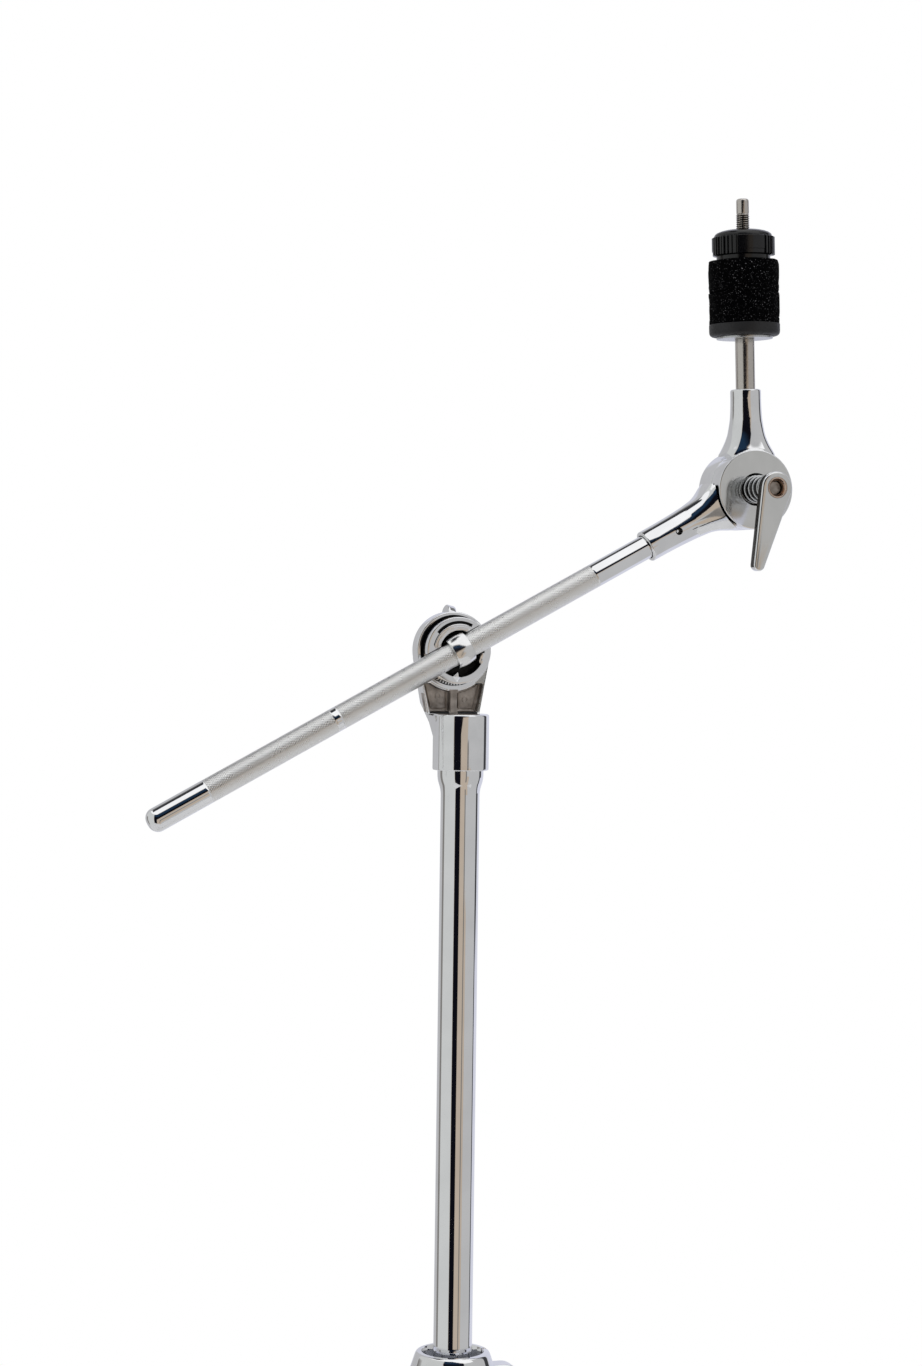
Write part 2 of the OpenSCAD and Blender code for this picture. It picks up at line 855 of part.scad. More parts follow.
module boom_rod() {
    dome = rod_r - 1.5;
    edge = rod_r - dome;
    head = rod_reach - socket_len + socket_hold;
    band0 = -band_at - band_w / 2;
    band1 = -band_at + band_w / 2;
    knurl_r = rod_r - knurl_cut;
    color("#d0d2d4")
        on_boom()
            difference() {
                rotate([0, 90, 0])
                    rotate_extrude()
                        polygon(concat(
                            [[0, -rod_tail]],
                            [for (a = [0:9:90]) [edge + dome * sin(a), -rod_tail + dome - dome * cos(a)]],
                            [
                                [rod_r, -knurl_tail], [knurl_r, -knurl_tail], [knurl_r, band0],
                                [rod_r, band0], [rod_r, band1], [knurl_r, band1],
                                [knurl_r, knurl_head], [rod_r, knurl_head], [rod_r, head], [0, head]
                            ]
                        ));
                translate([rod_reach - socket_len + roll_pin_at, 0, 0])
                    bar_y(roll_pin_d / 2 + seat, -rod_r - 1, rod_r + 1);
            }
}

// ---------------------------------------------------------------- tilter

// Web between a disc and its neck, in the plane of X and Z, with the neck along +Z
module web_outline(r, top) {
    tangent = disc_r * sin(45);
    side = [
        for (i = [0:8])
            let (t = i / 8)
            [r + (tangent - r) * pow(1 - t, 2), tangent + (top - tangent) * t]
    ];
    polygon(concat([[0, 0]], side, [for (i = [8:-1:0]) [-side[i][0], side[i][1]]]));
}

module tilter_post() {
    color("#d0d2d4")
        on_stem()
            difference() {
                union() {
                    bar_y(disc_r, -front_t, -gap / 2);
                    plate_y(-front_t + 3, -gap / 2)
                        web_outline(10.4, 38);
                    rotate_extrude()
                        polygon(concat(
                            [[0, 12], [13, 12]], neck(20, post_h - 1, post_r, 4),
                            [[post_r - 1, post_h], [0, post_h]]
                        ));
                }
                bar_y(disc_r + casting_gap, -gap / 2, rear_t + 10);
                bar_y(recess_r, -front_t - 1, -recess_floor);
                bar_y(bolt_r + fit, -front_t - 1, 2);
                translate([0, 0, post_h - stem_hold])
                    cylinder(r = stem_d / 2, h = stem_hold + 1);
            }
}

module tilter_socket() {
    color("#d0d2d4")
        on_tilter()
            rotate([0, -rod_angle - 90, 0])
                difference() {
                    union() {
                        bar_y(disc_r, gap / 2, rear_t);
                        plate_y(gap / 2, rear_t - 4)
                            web_outline(10.6, 38);
                        rotate_extrude()
                            polygon(concat(
                                [[0, 12], [12.4, 12]], neck(20, socket_len - 1, socket_r, 3.4),
                                [[socket_r - 0.6, socket_len], [0, socket_len]]
                            ));
                    }
                    bar_y(disc_r + casting_gap, -front_t - 10, gap / 2);
                    bar_y(bolt_r, 0, rear_t + 1);
                    translate([0, 0, socket_len - socket_hold - seat])
                        cylinder(r = rod_r + seat, h = socket_hold + 1);
                    translate([0, 0, socket_len - roll_pin_at])
                        bar_y(roll_pin_d / 2, -socket_r - 1, socket_r + 1);
                }
}

module socket_pin() {
    color("#5a5a5c")
        on_tilter()
            rotate([0, -rod_angle - 90, 0])
                translate([0, 0, socket_len - roll_pin_at])
                    difference() {
                        bar_y(roll_pin_d / 2, 1 - socket_r, socket_r - 1);
                        bar_y(roll_pin_d / 2 - roll_pin_wall, -socket_r, socket_r);
                    }
}

module tilter_bolt() {
    color("#8f9194")
        on_tilter() {
            bar_y(bolt_r, -bolt_tip, rear_t);
            rotate([0, 30 - rod_angle, 0])
                translate([0, rear_t + 5, 0])
                    rotate([90, 0, 0])
                        cylinder(r = 8, h = 5, $fn = 6);
        }
}

// A round wire of diameter w wound at radius r: t turns, pitch p, standing on the plane z = 0
module coil(r, w, t, p, sides = 8, steps = 20) {
    n = t * steps;
    points = [
        for (i = [0:n], k = [0:sides - 1])
            let (a = 360 * i / steps, b = 360 * k / sides, q = r + w / 2 * cos(b))
            [q * cos(a), q * sin(a), w / 2 + p * i / steps + w / 2 * sin(b)]
    ];
    walls = [
        for (i = [0:n - 1], k = [0:sides - 1])
            let (m = (k + 1) % sides)
            [i * sides + k, (i + 1) * sides + k, (i + 1) * sides + m, i * sides + m]
    ];
    ends = [[for (k = [0:sides - 1]) k], [for (k = [sides - 1:-1:0]) n * sides + k]];
    polyhedron(points, concat(walls, ends));
}

module tilter_spring() {
    l = front_t + lever_gap - recess_floor - washer_t - 2 * gap;
    color("#9a9c9f")
        on_tilter()
            translate([0, -recess_floor - gap, 0])
                rotate([90, 0, 0])
                    coil(spring_r, spring_wire, spring_turns, (l - spring_wire) / spring_turns);
}

module tilter_washer() {
    color("#8f9194")
        on_tilter()
            difference() {
                bar_y(recess_r - gap, -lever_back, -lever_back + washer_t);
                bar_y(bolt_r + fit, -lever_back - 1, 0);
            }
}

module tilter_lever() {
    color("#c4c6c9")
        on_tilter()
            difference() {
                rotate([0, lever_lean, 0])
                    taper_bar(lever_head_r, lever_tip_r, lever_len, -lever_back - lever_t, -lever_back);
                bar_y(insert_r, -lever_back - lever_t - 1, 0);
            }
}

module lever_insert() {
    color("#b98d6a")
        on_tilter()
            difference() {
                bar_y(insert_r, -lever_back - lever_t - 0.3, -lever_back);
                bar_y(bolt_r + fit, -lever_back - lever_t - 1, 0);
            }
}

// ---------------------------------------------------------------- stem, seat, felts, nut

module stem() {
    tip = 1.6;
    color("#a39c92")
        on_stem()
            rotate_extrude()
                polygon([
                    [0, post_h - stem_hold], [stem_d / 2, post_h - stem_hold],
                    [stem_d / 2, seat_at], [stud_r, seat_at],
                    [stud_r, stud_top - pilot_h - 0.5], [pilot_r, stud_top - pilot_h],
                    [pilot_r, stud_top - tip], [pilot_r - 0.5, stud_top - 0.6],
                    [pilot_r - tip, stud_top], [0, stud_top]
                ]);
}

module seat_washer() {
    color("#a8aaac")
        on_stem()
            translate([0, 0, seat_at])
                difference() {
                    cylinder(d = washer_d, h = washer_t);
                    translate([0, 0, -1])
                        cylinder(r = stud_r, h = washer_t + 2);
                }
}

module seat_cup() {
    color("#232325")
        on_stem()
            rotate_extrude()
                polygon([
                    [stud_r, cup_at], [cup_d / 2 - 3, cup_at], [cup_d / 2 - 0.8, cup_at + 1.4],
                    [cup_d / 2, cup_at + 3], [cup_d / 2, felt_at], [stud_r, felt_at]
                ]);
}

module felt(at) {
    color("#0e0e0f")
        on_stem()
            translate([0, 0, at])
                difference() {
                    cylinder(d = felt_d, h = felt_h);
                    translate([0, 0, -1])
                        cylinder(r = seat_sleeve_d / 2 + gap, h = felt_h + 2);
                }
}

module seat_sleeve() {
    color("#1a1a1c")
        on_stem()
            translate([0, 0, felt_at])
                difference() {
                    cylinder(d = seat_sleeve_d, h = 2 * felt_h - 1);
                    translate([0, 0, -1])
                        cylinder(r = stud_r, h = 2 * felt_h + 1);
                }
}

module top_nut() {
    r = nut_d / 2;
    rib0 = 3.6;
    rib1 = nut_h - 5;
    color("#29292b")
        on_stem()
            translate([0, 0, nut_at])
                difference() {
                    union() {
                        rotate_extrude()
                            polygon([
                                [0, 0], [r - 3, 0], [r - 2.6, 2.6], [r - 1, 3], [r - 1, nut_h - 4.4],
                                [r - 1.8, nut_h - 3.4], [r - 5, nut_h - 2.2], [r - 9, nut_h - 0.6],
                                [r - 12, nut_h], [0, nut_h]
                            ]);
                        for (k = [0:nut_ribs - 1])
                            rotate([0, 0, k * 360 / nut_ribs])
                                translate([r - 2, -1.2, rib0])
                                    cube([2, 2.4, rib1 - rib0]);
                    }
                    translate([0, 0, -1])
                        cylinder(r = insert_r, h = nut_h - 3);
                    cylinder(r = stud_r + gap, h = nut_h + 1);
                }
}

module nut_insert() {
    color("#b9974f")
        on_stem()
            translate([0, 0, nut_at + 1])
                difference() {
                    cylinder(r = insert_r, h = nut_h - 5);
                    translate([0, 0, -1])
                        cylinder(r = stud_r + fit, h = nut_h);
                }
}

base_plug();
base_tube();
base_bracket();
bracket_pins();
strut(0);  // strut_1
strut(1);  // strut_2
strut(2);  // strut_3
leg(0);  // leg_1
leg(1);  // leg_2
leg(2);  // leg_3
mid_pin(0);  // mid_pin_1
mid_pin(1);  // mid_pin_2
mid_pin(2);  // mid_pin_3
foot(0);  // foot_1
foot(1);  // foot_2
foot(2);  // foot_3
leg_collar();
collar_pins();
collar_screw();
clamp_body();
clamp_bush();
clamp_bolt();
clamp_lever();
upper_tube();
tube_plug();
boom_holder();
holder_pin();
saddle_disc();
eye_bolt();
clamp_washer();
wing_nut();
boom_rod();
tilter_socket();
socket_pin();
tilter_bolt();
tilter_post();
tilter_spring();
tilter_washer();
tilter_lever();
lever_insert();
stem();
seat_washer();
seat_cup();
felt(felt_at);  // felt_lower
seat_sleeve();
felt(felt2_at);  // felt_upper
top_nut();
nut_insert();
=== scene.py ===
import json
import math
import random

import bmesh
import bpy
from mathutils import Matrix, Vector, noise


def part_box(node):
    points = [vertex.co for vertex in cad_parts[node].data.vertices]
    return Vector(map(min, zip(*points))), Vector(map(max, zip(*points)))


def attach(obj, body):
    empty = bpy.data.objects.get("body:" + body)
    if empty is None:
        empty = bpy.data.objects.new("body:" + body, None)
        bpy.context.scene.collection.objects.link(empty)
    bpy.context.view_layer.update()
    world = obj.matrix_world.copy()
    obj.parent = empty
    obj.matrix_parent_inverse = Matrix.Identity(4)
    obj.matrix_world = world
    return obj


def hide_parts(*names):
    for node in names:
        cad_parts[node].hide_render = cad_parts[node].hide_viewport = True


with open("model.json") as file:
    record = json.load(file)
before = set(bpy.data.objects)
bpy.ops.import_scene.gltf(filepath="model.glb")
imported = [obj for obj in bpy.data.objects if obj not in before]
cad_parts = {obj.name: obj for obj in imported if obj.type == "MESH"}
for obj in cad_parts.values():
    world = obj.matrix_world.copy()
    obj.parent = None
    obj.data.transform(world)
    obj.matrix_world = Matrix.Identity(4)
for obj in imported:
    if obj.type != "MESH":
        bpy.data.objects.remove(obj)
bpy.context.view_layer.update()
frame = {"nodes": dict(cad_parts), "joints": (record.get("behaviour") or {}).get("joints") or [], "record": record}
random.seed(11)
scene = bpy.context.scene

# Sizes are in millimetres and angles in degrees; places come from the frame's joints and boxes.
MM = 0.001
ROD_ANGLE = 28.5
STEM_LEAN = 2.0
joints = {j["name"]: j for j in frame["joints"]}


def joint_place(name):
    """A joint's own point, in millimetres."""
    return Vector(joints[name]["pos_m"]) / MM


def turn_y(angle):
    return Matrix.Rotation(math.radians(angle), 4, "Y")


CLAMP = joint_place("boom_tilt")
TILTER = joint_place("tilter_tilt")
ON_CLAMP = Matrix.Translation((0, 0, CLAMP.z))
ON_BOOM = Matrix.Translation(CLAMP) @ turn_y(-ROD_ANGLE)
ON_TILTER = Matrix.Translation(TILTER)
ON_STEM = ON_TILTER @ turn_y(-STEM_LEAN)
ON_SOCKET = ON_TILTER @ turn_y(-ROD_ANGLE - 90)
# Turn a piece made along +Z so that it lies along -Y, towards the front, or along +Y
FRONTWARD = Matrix.Rotation(math.radians(90), 4, "X")
BACKWARD = FRONTWARD.inverted()
ALONG_X = turn_y(90)
M8_R = 4.0
M8_PITCH = 1.25
M8_HOLE_R = 4.08
CAMERA_AZIMUTH = -18.35
CAMERA_ROLL = 0.78
CAMERA_DISTANCE = 1657.0
SENSOR_MM = 36
# Height of the picture at the clamp, in millimetres
PICTURE_MM = 780.2
# How far the lens stands above the clamp, and how far the picture's middle is right of it and below it
EYE_UP = 20
AIM_RIGHT = 0.9
AIM_DOWN = 18.5


# ------------------ mesh tools


def add_mesh(name, points, faces):
    """A new object from points in millimetres."""
    mesh = bpy.data.meshes.new(name)
    mesh.from_pydata([Vector(p) for p in points], [], faces)
    mesh.validate()
    obj = bpy.data.objects.new(name, mesh)
    scene.collection.objects.link(obj)
    return obj


def smooth(obj, angle):
    obj.data.shade_smooth()
    obj.data.set_sharp_from_angle(angle=math.radians(angle))


def bake(obj):
    """Makes the modifiers' result the object's own mesh."""
    graph = bpy.context.evaluated_depsgraph_get()
    mesh = bpy.data.meshes.new_from_object(obj.evaluated_get(graph))
    obj.modifiers.clear()
    obj.data = mesh
    return obj


def soften(points, radius, steps=4, closed=False):
    """Rounds each corner of a line of 2-D points. A radius may be one number or one for each point."""
    count = len(points)
    radii = radius if hasattr(radius, "__len__") else [radius] * count
    rounded = []
    for i, point in enumerate(points):
        here = Vector(point)
        if not closed and i in (0, count - 1) or radii[i] == 0:
            rounded.append(tuple(here))
            continue
        before = Vector(points[i - 1]) - here
        after = Vector(points[(i + 1) % count]) - here
        reach = min(radii[i], before.length * 0.48, after.length * 0.48)
        start = here + before.normalized() * reach
        end = here + after.normalized() * reach
        for k in range(steps + 1):
            t = k / steps
            rounded.append(tuple(start * (1 - t) ** 2 + here * 2 * t * (1 - t) + end * t * t))
    return rounded


def ring_faces(rings):
    """Quads from each ring of point numbers to the next."""
    faces = []
    for low, high in zip(rings, rings[1:]):
        for k in range(len(low)):
            m = (k + 1) % len(low)
            faces.append((low[k], low[m], high[m], high[k]))
    return faces


def capped(name, points, rings):
    """A solid from rings of point numbers, closed at both ends."""
    return outward(add_mesh(name, points, ring_faces(rings) + [tuple(rings[0]), tuple(rings[-1])]))


def lathe(name, profile, steps=96, closed=False, wave=None):
    """Turns (radius, height) points around Z. wave(angle, radius, height) may change the radius."""
    points, rings = [], []
    for r, z in profile:
        if r == 0:
            rings.append([len(points)] * steps)
            points.append((0, 0, z))
            continue
        rings.append(range(len(points), len(points) + steps))
        for k in range(steps):
            a = 2 * math.pi * k / steps
            q = wave(a, r, z) if wave else r
            points.append((q * math.cos(a), q * math.sin(a), z))
    faces = []
    for corners in ring_faces(rings + rings[:1] if closed else rings):
        face = [c for i, c in enumerate(corners) if c not in corners[:i]]
        if len(face) > 2:
            faces.append(face)
    return outward(add_mesh(name, points, faces))


def cylinder(name, radius, low, high, steps=96, rims=None, rim_steps=4):
    """A turned solid along Z. rims are how far its lower and its upper rim are rounded."""
    profile = [(0, low), (radius, low), (radius, high), (0, high)]
    if rims:
        profile = soften(profile, [0, *rims, 0], rim_steps)
    return lathe(name, profile, steps)


def outward(obj):
    bm = bmesh.new()
    bm.from_mesh(obj.data)
    bmesh.ops.recalc_face_normals(bm, faces=bm.faces)
    bm.to_mesh(obj.data)
    bm.free()
    return obj


def slab(name, outline, low, high, bevel=0.0):
    """An outline in X and Y drawn out along Z from low to high, with its rims rounded."""
    points = [(x, y, z) for z in (low, high) for x, y in outline]
    bottom = range(len(outline))
    top = range(len(outline), len(points))
    faces = [tuple(bottom[::-1]), tuple(top)] + ring_faces([bottom, top])
    obj = outward(add_mesh(name, points, faces))
    if bevel:
        rims = obj.modifiers.new("rims", "BEVEL")
        rims.width = bevel
        rims.segments = 3
        rims.angle_limit = math.radians(50)
        bake(obj)
    return obj


def rectangle(x0, y0, x1, y1):
    return [(x0, y0), (x1, y0), (x1, y1), (x0, y1)]


def arc(radius, start, end, steps=16, centre=(0, 0)):
    """Points on an arc, angles in degrees."""
    angles = [math.radians(start + (end - start) * k / steps) for k in range(steps + 1)]
    return [(centre[0] + radius * math.cos(a), centre[1] + radius * math.sin(a)) for a in angles]


def taper(r0, r1, length):
    """The outline of a tapered bar with round ends, from the origin to -Y."""
    tilt = math.degrees(math.asin((r0 - r1) / length))
    return arc(r0, -tilt, 180 + tilt, 28) + arc(r1, 180 + tilt, 360 - tilt, 18, (0, -length))


def place(obj, matrix):
    obj.data.transform(matrix)
    return obj


def combine(obj, tools, operation="DIFFERENCE"):
    """Cuts the tools from obj, or joins them to it, as solids, and uses them up."""
    for tool in tools:
        step = obj.modifiers.new("solid", "BOOLEAN")
        step.operation = operation
        step.object = tool
        step.solver = "MANIFOLD"
    bake(obj)
    for tool in tools:
        bpy.data.objects.remove(tool)
    return obj


def cast(obj, voxel=0.35, rounds=12):
    """Softens every edge of a solid, as on a polished casting."""
    grid = obj.modifiers.new("grid", "REMESH")
    grid.mode = "VOXEL"
    grid.voxel_size = voxel
    polish = obj.modifiers.new("polish", "SMOOTH")
    polish.factor = 0.5
    polish.iterations = rounds
    return bake(obj)


def join(obj, other):
    """Adds the other object's mesh to obj, and uses it up."""
    bm = bmesh.new()
    bm.from_mesh(obj.data)
    bm.from_mesh(other.data)
    bm.to_mesh(obj.data)
    bm.free()
    bpy.data.objects.remove(other)


def thread(name, low, high, steps=36):
    """An M8 thread along Z with real flanks, which runs out at both ends."""
    rows = max(4, int((high - low) / M8_PITCH * 8))
    points = []
    for i in range(rows + 1):
        z = low + (high - low) * i / rows
        fade = max(0.0, min(1.0, (high - z) / (M8_PITCH * 0.9), (z - low) / (M8_PITCH * 0.9)))
        for k in range(steps):
            flank = abs((z / M8_PITCH - k / steps) % 1.0 * 2 - 1)
            cut = M8_PITCH * 0.5 * fade * min(1.0, max(0.0, (flank - 0.15) / 0.7))
            r = M8_R - cut - 0.5 * (1 - fade)
            a = 2 * math.pi * k / steps
            points.append((r * math.cos(a), r * math.sin(a), z))
    return capped(name, points, [range(i * steps, (i + 1) * steps) for i in range(rows + 1)])


# ------------------ materials


def new_material(name, colour, metallic=0.0, roughness=0.5):
    material = bpy.data.materials.new(name)
    material.use_nodes = True
    shader = material.node_tree.nodes["Principled BSDF"]
    shader.inputs["Base Color"].default_value = (*colour, 1)
    shader.inputs["Metallic"].default_value = metallic
    shader.inputs["Roughness"].default_value = roughness
    return material


def add_node(owner, kind, **values):
    """A new node in the tree of a material or world, with its inputs or settings."""
    node = owner.node_tree.nodes.new(kind)
    for key, value in values.items():
        if key in node.inputs:
            node.inputs[key].default_value = value
        else:
            setattr(node, key, value)
    return node


def object_noise(material, scale, detail=3.0, stretch=(1, 1, 1)):
    """Noise fixed to the object; scale counts waves in a metre."""
    links = material.node_tree.links
    coordinates = add_node(material, "ShaderNodeTexCoord")
    mapping = add_node(material, "ShaderNodeMapping")
    mapping.inputs["Scale"].default_value = stretch
    texture = add_node(material, "ShaderNodeTexNoise", Scale=scale, Detail=detail)
    links.new(coordinates.outputs["Object"], mapping.inputs["Vector"])
    links.new(mapping.outputs["Vector"], texture.inputs["Vector"])
    return texture.outputs["Fac"]


def vary(material, source, socket, low, high, start=0.3, end=0.7):
    """Spreads a noise over a shader value from low to high."""
    links = material.node_tree.links
    shader = material.node_tree.nodes["Principled BSDF"]
    spread = add_node(material, "ShaderNodeMapRange")
    for key, value in (("From Min", start), ("From Max", end), ("To Min", low), ("To Max", high)):
        spread.inputs[key].default_value = value
    links.new(source, spread.inputs["Value"])
    links.new(spread.outputs["Result"], shader.inputs[socket])


def tint(material, source, low, high, start=0.35, end=0.65):
    """Mixes two colours over a noise into the base colour."""
    links = material.node_tree.links
    shader = material.node_tree.nodes["Principled BSDF"]
    ramp = add_node(material, "ShaderNodeValToRGB")
    ramp.color_ramp.elements[0].position = start
    ramp.color_ramp.elements[0].color = (*low, 1)
    ramp.color_ramp.elements[1].position = end
    ramp.color_ramp.elements[1].color = (*high, 1)
    links.new(source, ramp.inputs["Fac"])
    links.new(ramp.outputs["Color"], shader.inputs["Base Color"])


def bump(material, source, strength, distance):
    links = material.node_tree.links
    shader = material.node_tree.nodes["Principled BSDF"]
    node = add_node(material, "ShaderNodeBump", Strength=strength, Distance=distance * MM)
    links.new(source, node.inputs["Height"])
    links.new(node.outputs["Normal"], shader.inputs["Normal"])


def plated(name, low, high, roughness, haze, ripple=None):
    """Plated metal with a haze. The ripple is given by scale, detail, strength and depth."""
    material = new_material(name, high, 1.0)
    cloud = object_noise(material, *haze)
    tint(material, cloud, low, high)
    vary(material, cloud, "Roughness", *roughness)
    if ripple:
        scale, detail, strength, depth = ripple
        bump(material, object_noise(material, scale, detail), strength, depth)
    return material


def knurled_chrome(name, tone):
    low = (tone * 0.96, tone * 0.96, tone * 0.95)
    return plated(name, low, (tone, tone, tone * 0.99), (0.26, 0.31), (240, 4))


def raw_casting():
    material = new_material("raw_casting", (0.3, 0.265, 0.235), 0.9, 0.4)
    grain = object_noise(material, 700, 6)
    patches = object_noise(material, 160, 3)
    tint(material, patches, (0.27, 0.24, 0.215), (0.52, 0.475, 0.44))
    vary(material, grain, "Roughness", 0.3, 0.55)
    bump(material, grain, 0.5, 0.3)
    return material


def satin_steel(name, colour, rough, stretch=(1, 1, 40)):
    """Steel with fine turning marks."""
    material = new_material(name, colour, 1.0, rough)
    marks = object_noise(material, 900, 4, stretch)
    low = tuple(c * 0.88 for c in colour)
    high = tuple(min(1.0, c * 1.1) for c in colour)
    tint(material, marks, low, high)
    vary(material, marks, "Roughness", rough * 0.75, rough * 1.35)
    bump(material, marks, 0.12, 0.05)
    return material


def plastic(name, colour, rough, grain=1500, depth=0.1):
    material = new_material(name, colour, 0.0, rough)
    texture = object_noise(material, grain, 4)
    clouds = object_noise(material, 120, 3)
    tint(material, clouds, tuple(c * 0.8 for c in colour), tuple(c * 1.2 for c in colour))
    vary(material, texture, "Roughness", rough * 0.8, min(1.0, rough * 1.3))
    bump(material, texture, depth, 0.08)
    return material


def felt_material():
    material = new_material("black_felt", (0.0005, 0.0005, 0.0008), 0.0, 0.95)
    shader = material.node_tree.nodes["Principled BSDF"]
    shader.inputs["Specular IOR Level"].default_value = 0.03
    shader.inputs["Sheen Weight"].default_value = 0.006
    shader.inputs["Sheen Roughness"].default_value = 0.6
    shader.inputs["Sheen Tint"].default_value = (0.5, 0.5, 0.52, 1)
    fibres = object_noise(material, 1500, 6)
    tint(material, fibres, (0.0004, 0.0004, 0.0007), (0.28, 0.28, 0.29), 0.63, 0.75)
    bump(material, fibres, 0.9, 0.5)
    return material


MATERIALS = {
    "chrome": plated(
        "polished_chrome", (0.87, 0.875, 0.89), (0.92, 0.925, 0.94), (0.02, 0.055), (55, 5),
        ripple=(18, 2, 0.06, 0.5),
    ),
    "chrome_cast": plated(
        "cast_chrome", (0.85, 0.855, 0.87), (0.91, 0.915, 0.93), (0.035, 0.09), (90, 5),
        ripple=(60, 3, 0.1, 0.4),
    ),
    "chrome_knurled": knurled_chrome("knurled_chrome", 0.9),
    "steel_satin": satin_steel("satin_steel", (0.62, 0.585, 0.55), 0.2),
    "hardware": satin_steel("zinc_steel", (0.58, 0.59, 0.6), 0.28, (1, 1, 1)),
    "bronze": satin_steel("turned_bronze", (0.66, 0.52, 0.43), 0.16, (1, 8, 1)),
    "brass": satin_steel("turned_brass", (0.75, 0.6, 0.32), 0.24),
    "nylon_grey": plastic("grey_nylon", (0.17, 0.18, 0.21), 0.4),
    "plastic_black": plastic("black_plastic", (0.004, 0.004, 0.005), 0.16, depth=0.03),
    "plastic_inner": plastic("inner_plastic", (0.02, 0.02, 0.022), 0.4),
    "rubber_black": plastic("black_rubber", (0.007, 0.007, 0.009), 0.5, 900, 0.2),
    "felt_black": felt_material(),
}
RAW = raw_casting()
# Near-black painted shade for recesses, gaps and the seam under the pockets, where the casting lies in shadow
HOLLOW_SHADE = plastic("painted_hollow_shade", (0.006, 0.006, 0.007), 0.6)
# The finely ground faces of disc and lever, and the strap that the rod and hands have rubbed
SATIN = plated("satin_face", (0.75, 0.75, 0.74), (0.79, 0.79, 0.78), (0.11, 0.15), (120, 4))
BUFFED = plated("buffed_chrome", (0.83, 0.83, 0.83), (0.88, 0.88, 0.88), (0.13, 0.18), (200, 4))
# A darker copy of the knurled chrome, painted as shade on the knurl facets that face one way
KNURL_PAINTED_SHADE = knurled_chrome("knurled_chrome_painted_shade", 0.82)
# Grey steel painted as shade on the holder's right front, darker than its chrome
GREY_SHADE = satin_steel("painted_grey_shade", (0.5, 0.5, 0.49), 0.25, (1, 1, 1))
# Near-black steel used as painted shade: dark edge lines, thread valleys, mouths, pin sinks and the bolt's front
PAINTED_SHADE = satin_steel("painted_shade_steel", (0.06, 0.058, 0.055), 0.35)


def paint(obj, *materials):
    obj.data.materials.clear()
    for material in materials:
        obj.data.materials.append(material)


def settle(obj, body, slot, node, matrix=None, sharp=32):
    """Puts a piece made in millimetres into the frame, on its body and in place of its CAD node."""
    if matrix is not None:
        place(obj, matrix)
    place(obj, Matrix.Scale(MM, 4))
    smooth(obj, sharp)
    # Combined pieces that nobody painted have empty material slots
    if not any(obj.data.materials):
        paint(obj, MATERIALS[slot])
    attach(obj, body)
    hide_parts(node)


# ------------------ column

TUBE_R = 11.1
SWAGE_R = 13.15
SLEEVE_BOTTOM = CLAMP.z - 68
SLEEVE_TOP = SLEEVE_BOTTOM + 32


def make_upper_tube():
    """The tube with its swaged upper end."""
    low, high = (c.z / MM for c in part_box("upper_tube"))
    wall = 1.5
    cone_top = SLEEVE_BOTTOM - 5.4
    cone_foot = cone_top - 6
    outer = [
        (TUBE_R - wall, low), (TUBE_R, low), (TUBE_R, cone_foot), (SWAGE_R, cone_top),
        (SWAGE_R, high), (SWAGE_R - wall, high), (SWAGE_R - wall, cone_top), (TUBE_R - wall, cone_foot),
    ]
    profile = soften(outer, [0.5, 0.5, 3, 3, 0.5, 0.5, 3, 3], closed=True)
    settle(lathe("upper_tube_shell", profile, 128, closed=True), "column", "chrome", "upper_tube")


make_upper_tube()

# ------------------ holder

RING_R = 22.2
RING_IN = 20.4
RING_FRONT = 14.5
RING_BACK = 25.0
RING_FLOOR = 3.2 - RING_BACK
FLANGE_FRONT = 18.6
SLEEVE_R = 16.0
FLAT = 15.0
NECK_FRONT = 14.2
POCKET_FLOOR = 19.0


def holder_neck(bottom, top):
    """The neck between sleeve and ring: its sides run straight to the ring, and its back slopes down."""
    low, shoulder, meet = bottom + 18, top - 5, -4.5
    half = RING_R * 0.98
    outline = [(-half, meet), (-FLAT, shoulder), (-FLAT, low), (FLAT, low), (FLAT, shoulder), (half, meet)]
    body = place(slab("holder_neck", outline, -RING_BACK, 0), FRONTWARD)
    # Seen from the side, in Y and Z
    flat_y = math.sqrt(SLEEVE_R ** 2 - FLAT ** 2)
    edge = [
        (0, low), (flat_y, low), (RING_BACK, low + RING_BACK - flat_y), (RING_BACK, 0), (RING_FRONT, 0),
        (RING_FRONT, -10), (NECK_FRONT, top), (NECK_FRONT - 1, top - 1), (0, top - 1),
    ]
    side = slab("holder_side", edge, -30, 30)
    place(side, Matrix(((0, 0, 1, 0), (1, 0, 0, 0), (0, 1, 0, 0), (0, 0, 0, 1))))
    combine(body, [side], "INTERSECT")
    combine(body, [place(cylinder("saddle_room", RING_R - 0.6, -RING_FRONT, 0, 128), FRONTWARD)])
    disc = cylinder("holder_disc", RING_R - 0.3, -RING_BACK, -RING_FRONT, 128)
    return combine(body, [place(disc, FRONTWARD)], "UNION")


def holder_pockets(top):
    """The two rough pockets in the neck, which follow the ring, and what is raised on their floors."""
    def block(side, inset, low, high, bevel):
        inner, foot, head = 2.1 + inset, top + 0.8 + inset, top + 17
        corners = [(inner, foot), (14.4 - inset, foot), (18 - inset, head), (inner, head)]
        outline = soften([(side * x, z) for x, z in corners][::side], 0.8, 3, closed=True)
        keep = place(cylinder("keep", RING_R + 1.3 + inset, -40, 5), FRONTWARD)
        return combine(place(slab("pocket", outline, low, high, bevel), FRONTWARD), [keep])

    base = -POCKET_FLOOR
    pockets, raised = [], []
    for side in (-1, 1):
        pockets.append(block(side, 0, base, 0, 0))
        raised.append(block(side, 1.6, base - 1.5, base + 0.7, 0.45))
        profile = [(1.2, base - 1), (1.8, base - 1), (1.7, base + 1.1), (1.3, base + 1.1)]
        mark = place(lathe("mark", profile, 32, closed=True), FRONTWARD)
        raised.append(place(mark, Matrix.Translation((side * 8.2, 0, top + 8.5 - side))))
    return pockets, raised


